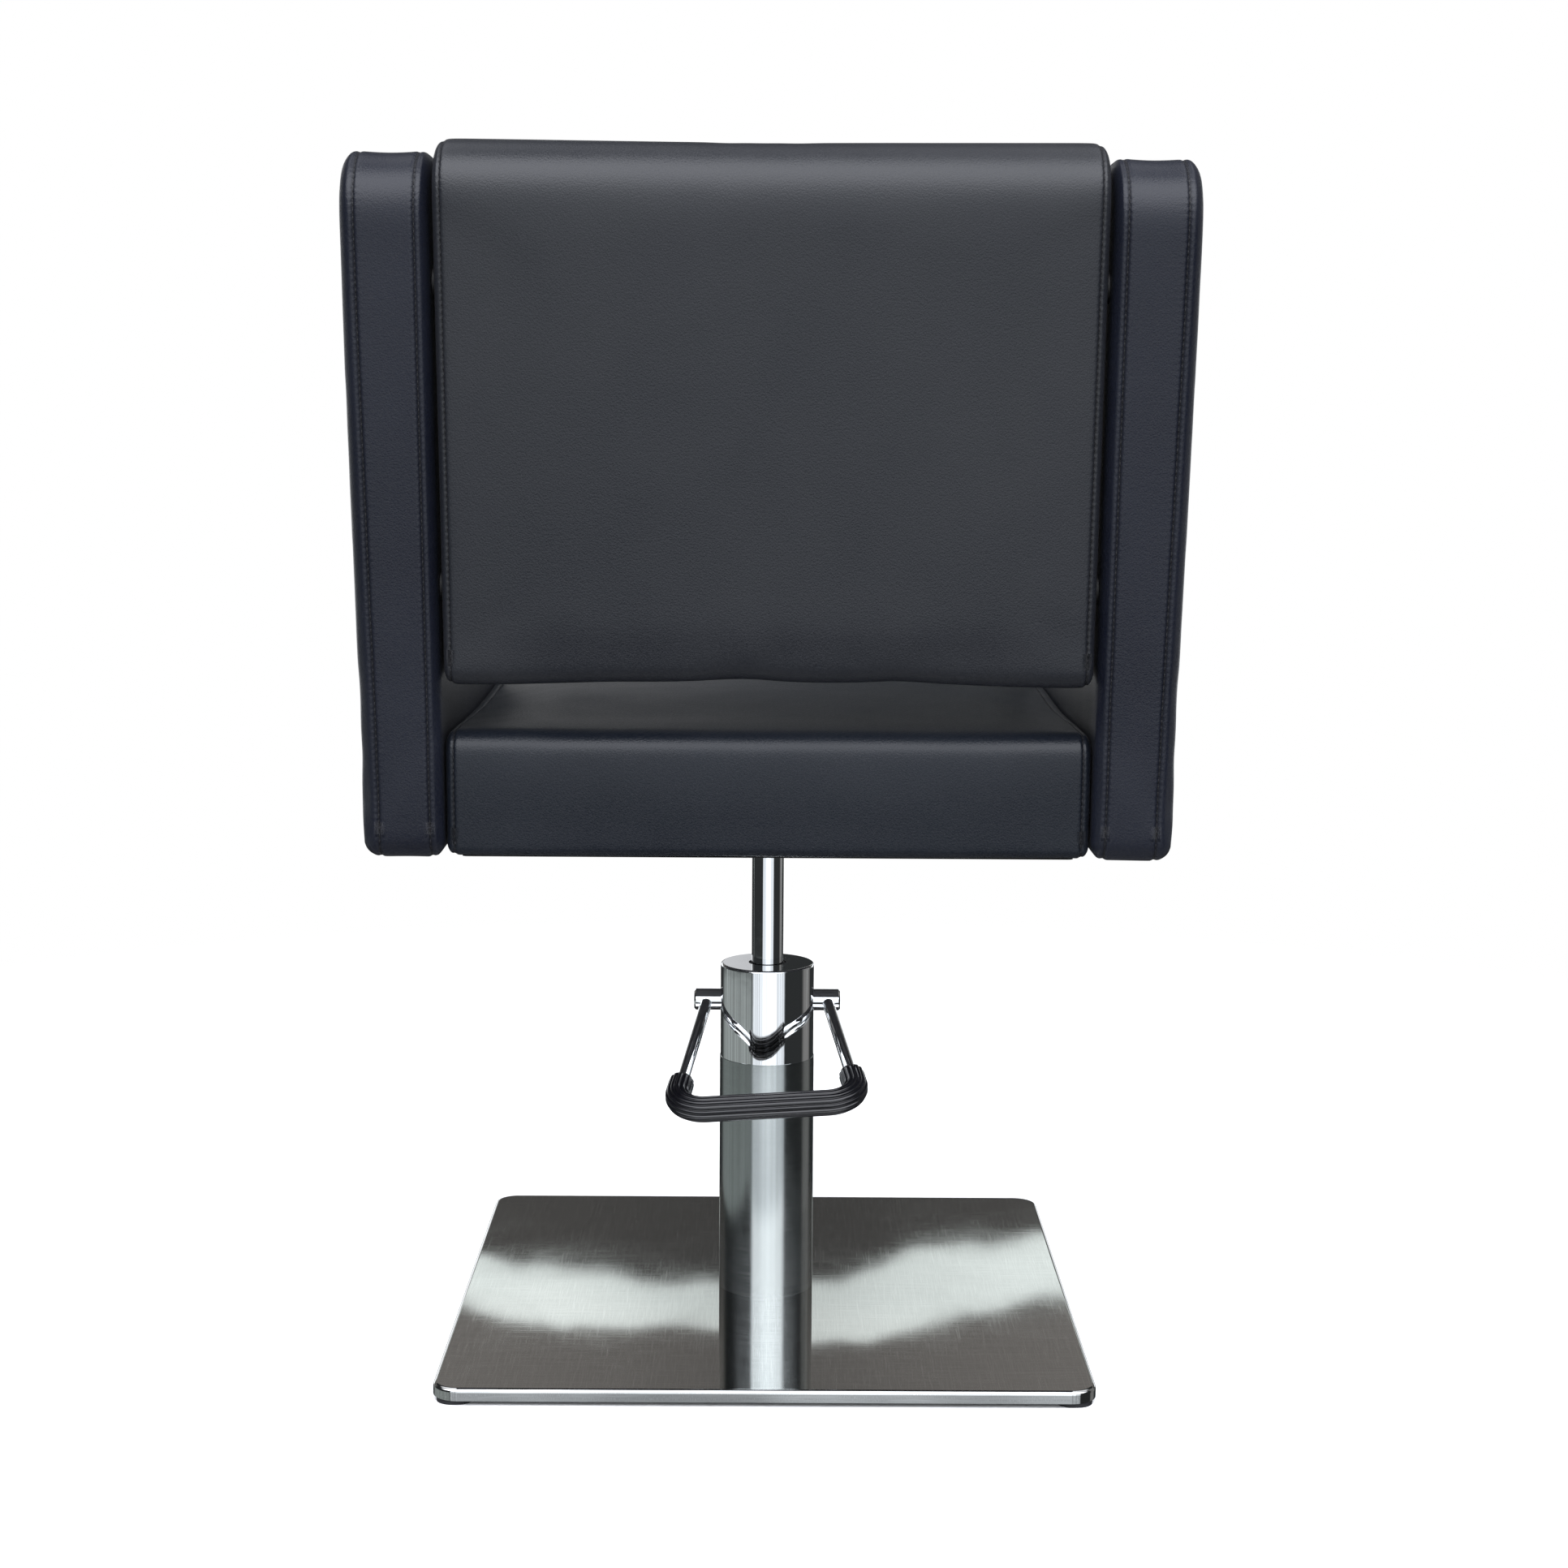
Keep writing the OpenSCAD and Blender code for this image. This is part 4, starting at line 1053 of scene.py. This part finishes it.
def make_panels(materials):
    seams = (9.8 * MM, 11.5 * MM)
    pad = Pad("panel_cushion", panel_corners(), SEAT_HALF_W, SEAT_HALF_W + PANEL_T, 10.5 * MM, seams, CELL)
    start = pad.build(0.6 * MM)
    inner = start[:, 0] < SEAT_HALF_W + 2 * MM
    beside = inner & (start[:, 2] < SEAT_TOP) & (start[:, 1] < FRONT)
    points = inflate(pad, start, 4.0, 16.0, 0.85 * beside, 6 * MM)
    coarse_faces = list(pad.faces)
    edge = np.abs(start[:, 0] - SEAT_HALF_W - PANEL_T / 2) < PANEL_T / 2 - 4 * MM
    calm = np.where(edge, 0.30, 0.75)
    points = start + (points - start) * calm[:, None]
    for side, label in ((1, "right"), (-1, "left")):
        pad.faces = list(coarse_faces)
        pad.name = f"panel_cushion_{label}"
        shape = points.copy()
        # the inner face stays clear of the seat and the backrest
        shape[:, 0] = np.maximum(shape[:, 0], SEAT_HALF_W + 0.2 * MM)
        shape, distance = sew(pad, shape, 41 if side > 0 else 67, 0.35)
        x = (shape[:, 0] - SEAT_HALF_W - PANEL_T / 2) / (PANEL_T / 2)
        # the foam is thicker towards the top of the outer face
        outer = np.clip(0.5 + x, 0, 1)
        shape[:, 0] += outer * (-1.5 + 4.5 * ramp(shape[:, 2], SEAT_BOTTOM, PANEL_TOP)) * MM
        top = ramp(shape[:, 2], PANEL_TOP - 0.020, PANEL_TOP - 0.004)
        pinch = (1 - np.clip(np.abs(x) / 0.7, 0, 1) ** 2) * top
        shape[:, 2] -= 1.3 * MM * pinch
        # the left cover is a little fuller at its top
        if side < 0:
            shape[:, 2] += 1.6 * MM * ramp(shape[:, 2], ARM_Z + 0.1, PANEL_TOP)
        bottom = 1 - ramp(shape[:, 2], SEAT_BOTTOM, SEAT_BOTTOM + 0.014)
        sway = np.array([noise.noise(Vector((p[0] * 26, p[1] * 14, 3.0 * side))) for p in shape])
        shape[:, 2] += (-1.0 + 1.8 * sway) * MM * bottom
        shape[:, 0] *= side
        if side < 0:
            pad.faces = [f[::-1] for f in pad.faces]
        # the side panels' covers take a darker copy of the vinyl: painted shade
        cover = finish_pad(pad, shape, distance, "chair", materials, never, "side_vinyl")
        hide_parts(f"side_panel_{label}")


def rectangle(low, high, radius, spacing):
    """Points round a rectangle with rounded corners, anticlockwise."""
    (x0, y0), (x1, y1) = low[:2], high[:2]
    corners = [(x, y, radius) for x, y in ((x0, y0), (x1, y0), (x1, y1), (x0, y1))]
    return outline_points(corners, spacing)(0.0)


def dust_sheet_flat(low, high, opening):
    """The flat sheet as points in (X, Y) and faces, with a square opening round the seat mount."""
    spacing = 12 * MM
    outer = rectangle(low, high, 4 * MM, spacing)
    hole = rectangle((-opening, -opening), (opening, opening), 16 * MM, spacing)
    margin = spacing / 3
    grid = [
        (x, y)
        for x in np.arange(low[0] + spacing / 2, high[0], spacing)
        for y in np.arange(low[1] + spacing / 2, high[1], spacing)
        if max(abs(x), abs(y)) > opening + margin
        and min(x - low[0], high[0] - x, y - low[1], high[1] - y) > margin
    ]
    n, m = len(outer), len(hole)
    edges = [(i, (i + 1) % n) for i in range(n)] + [(n + i, n + (i + 1) % m) for i in range(m)]
    spots, _, triangles, *_ = delaunay_2d_cdt(
        [Vector(q) for q in (*outer, *hole, *grid)], edges, [list(range(n))], 1, 1e-7
    )
    middles = [sum((spots[v] for v in face), Vector((0, 0))) / 3 for face in triangles]
    faces = [tuple(face) for face, middle in zip(triangles, middles) if not inside(middle, hole)]
    return np.array([tuple(q) for q in spots]), faces


def make_dust_cover(materials):
    """The non-woven sheet stapled under the seat, open round the seat mount and a little slack."""
    thickness, slack, gap = 0.6 * MM, 2.5 * MM, 0.2 * MM
    low, high = (np.array(corner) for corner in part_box("dust_cover"))
    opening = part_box("seat_mount")[1][0] + 1 * MM
    flat, faces = dust_sheet_flat(low, high, opening)
    x, y = flat[:, 0], flat[:, 1]
    from_edge = np.minimum(np.minimum(x - low[0], high[0] - x), np.minimum(y - low[1], high[1] - y))
    from_hole = np.maximum(np.abs(x), np.abs(y)) - opening
    places = np.column_stack((x, y, np.zeros(len(flat))))
    uneven = 1 + 0.35 * waves(places, 16.0, 5)
    sag = slack * ramp(from_edge, 0, 70 * MM) * ramp(from_hole, 0, 55 * MM) * uneven
    places[:, 2] = SEAT_BOTTOM - thickness / 2 - gap - sag
    mesh = bpy.data.meshes.new("dust_sheet")
    mesh.from_pydata([tuple(q) for q in places], [], faces)
    sheet = new_object("dust_sheet", mesh)
    body = sheet.modifiers.new("thickness", "SOLIDIFY")
    body.thickness, body.offset = thickness, 0.0
    finish_mesh(sheet, materials["dust_cloth"])
    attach(sheet, "chair")
    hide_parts("dust_cover")


# ---------------------------------------------------------------- pedal


def bent_line(points, radius, steps):
    """The line through four points with its two inner corners rounded, and its long runs cut up."""
    longest = 3 * MM
    p = [np.array(q, float) for q in points]
    line = [p[0]]
    for i in (1, 2):
        a, b = unit(p[i - 1] - p[i]), unit(p[i + 1] - p[i])
        half = math.acos(float(a @ b)) / 2
        centre = p[i] + unit(a + b) * radius / math.sin(half)
        start = p[i] + a * radius / math.tan(half) - centre
        end = p[i] + b * radius / math.tan(half) - centre
        sweep = math.acos(float(start @ end) / radius**2)
        for k in range(steps + 1):
            t = k / steps
            line.append(
                centre + (math.sin((1 - t) * sweep) * start + math.sin(t * sweep) * end) / math.sin(sweep)
            )
    line.append(p[3])
    out = [line[0]]
    for a, b in zip(line, line[1:]):
        pieces = max(1, int(np.linalg.norm(b - a) / longest))
        out += [a + (b - a) * k / pieces for k in range(1, pieces + 1)]
    return np.array(out)


def sweep_mesh(name, line, section, sides):
    """Carries a ring along a line. section(i, angle) gives the ring's radius at point i."""
    tangents = [unit(line[min(i + 1, len(line) - 1)] - line[max(i - 1, 0)]) for i in range(len(line))]
    up = np.array((0.0, 0.0, 1.0))
    side = unit(np.cross(tangents[0], up))
    points = []
    for i, (p, t) in enumerate(zip(line, tangents)):
        side = unit(side - t * (side @ t))
        over = np.cross(side, t)
        for k in range(sides):
            angle = 2 * math.pi * k / sides
            points.append(p + section(i, angle) * (math.cos(angle) * side + math.sin(angle) * over))
    mesh = outward_mesh(name, points, tube_faces(len(line), sides) + end_faces(len(line), sides))
    mesh.polygons.foreach_set("use_smooth", [len(p.vertices) == 4 for p in mesh.polygons])
    return new_object(name, mesh)


def make_pedal(materials):
    """The U-shaped bar from the shaft's ends, slightly out of level, and its ribbed grip."""
    bar_radius, bend, arc_steps = 5 * MM, 22 * MM, 16
    shaft_left, shaft_right = np.array((-0.050, 0.0245, 0.251)), np.array((0.050, 0.0245, 0.251))
    bar_left, bar_right = np.array((-0.073, -0.135, 0.197)), np.array((0.073, -0.135, 0.206))
    rod_line = bent_line([shaft_left, bar_left, bar_right, shaft_right], bend, arc_steps)
    bar = sweep_mesh("pedal_rod", rod_line, lambda i, angle: bar_radius, 40)
    bar.data.materials.append(materials["chrome"])
    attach(bar, "pedal")
    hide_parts("pedal_bar")

    # the grip covers the bar between two places on its arms
    arm_cover, grip_radius, groove_depth, grooves = 44 * MM, 10.25, 1.25, 14
    start = bar_left + unit(shaft_left - bar_left) * arm_cover
    end = bar_right + unit(shaft_right - bar_right) * arm_cover
    line = bent_line([start, bar_left, bar_right, end], bend, arc_steps)
    reach = running_length(line)

    def section(i, angle):
        near_end = min(reach[i], reach[-1] - reach[i])
        lip = 1 - 0.22 * math.exp(-near_end / (1.1 * MM))
        fade = min(1.0, near_end / (5 * MM))
        groove = 0.5 + 0.5 * math.cos(grooves * angle)
        return (grip_radius - groove_depth * fade * groove**3) * MM * lip

    sleeve = sweep_mesh("pedal_grip", line, section, 168)
    sleeve.data.materials.append(materials["sleeve_rubber"])
    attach(sleeve, "pedal")
    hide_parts("pedal_sleeve")


# ---------------------------------------------------------------- the scene

make_camera()
make_world()
make_stage()
make_lights()
bpy.context.scene.view_settings.view_transform = "Standard"
materials = make_materials()
dress_cad_nodes(materials)
make_seat(materials)
make_back(materials)
make_panels(materials)
make_dust_cover(materials)
make_pedal(materials)
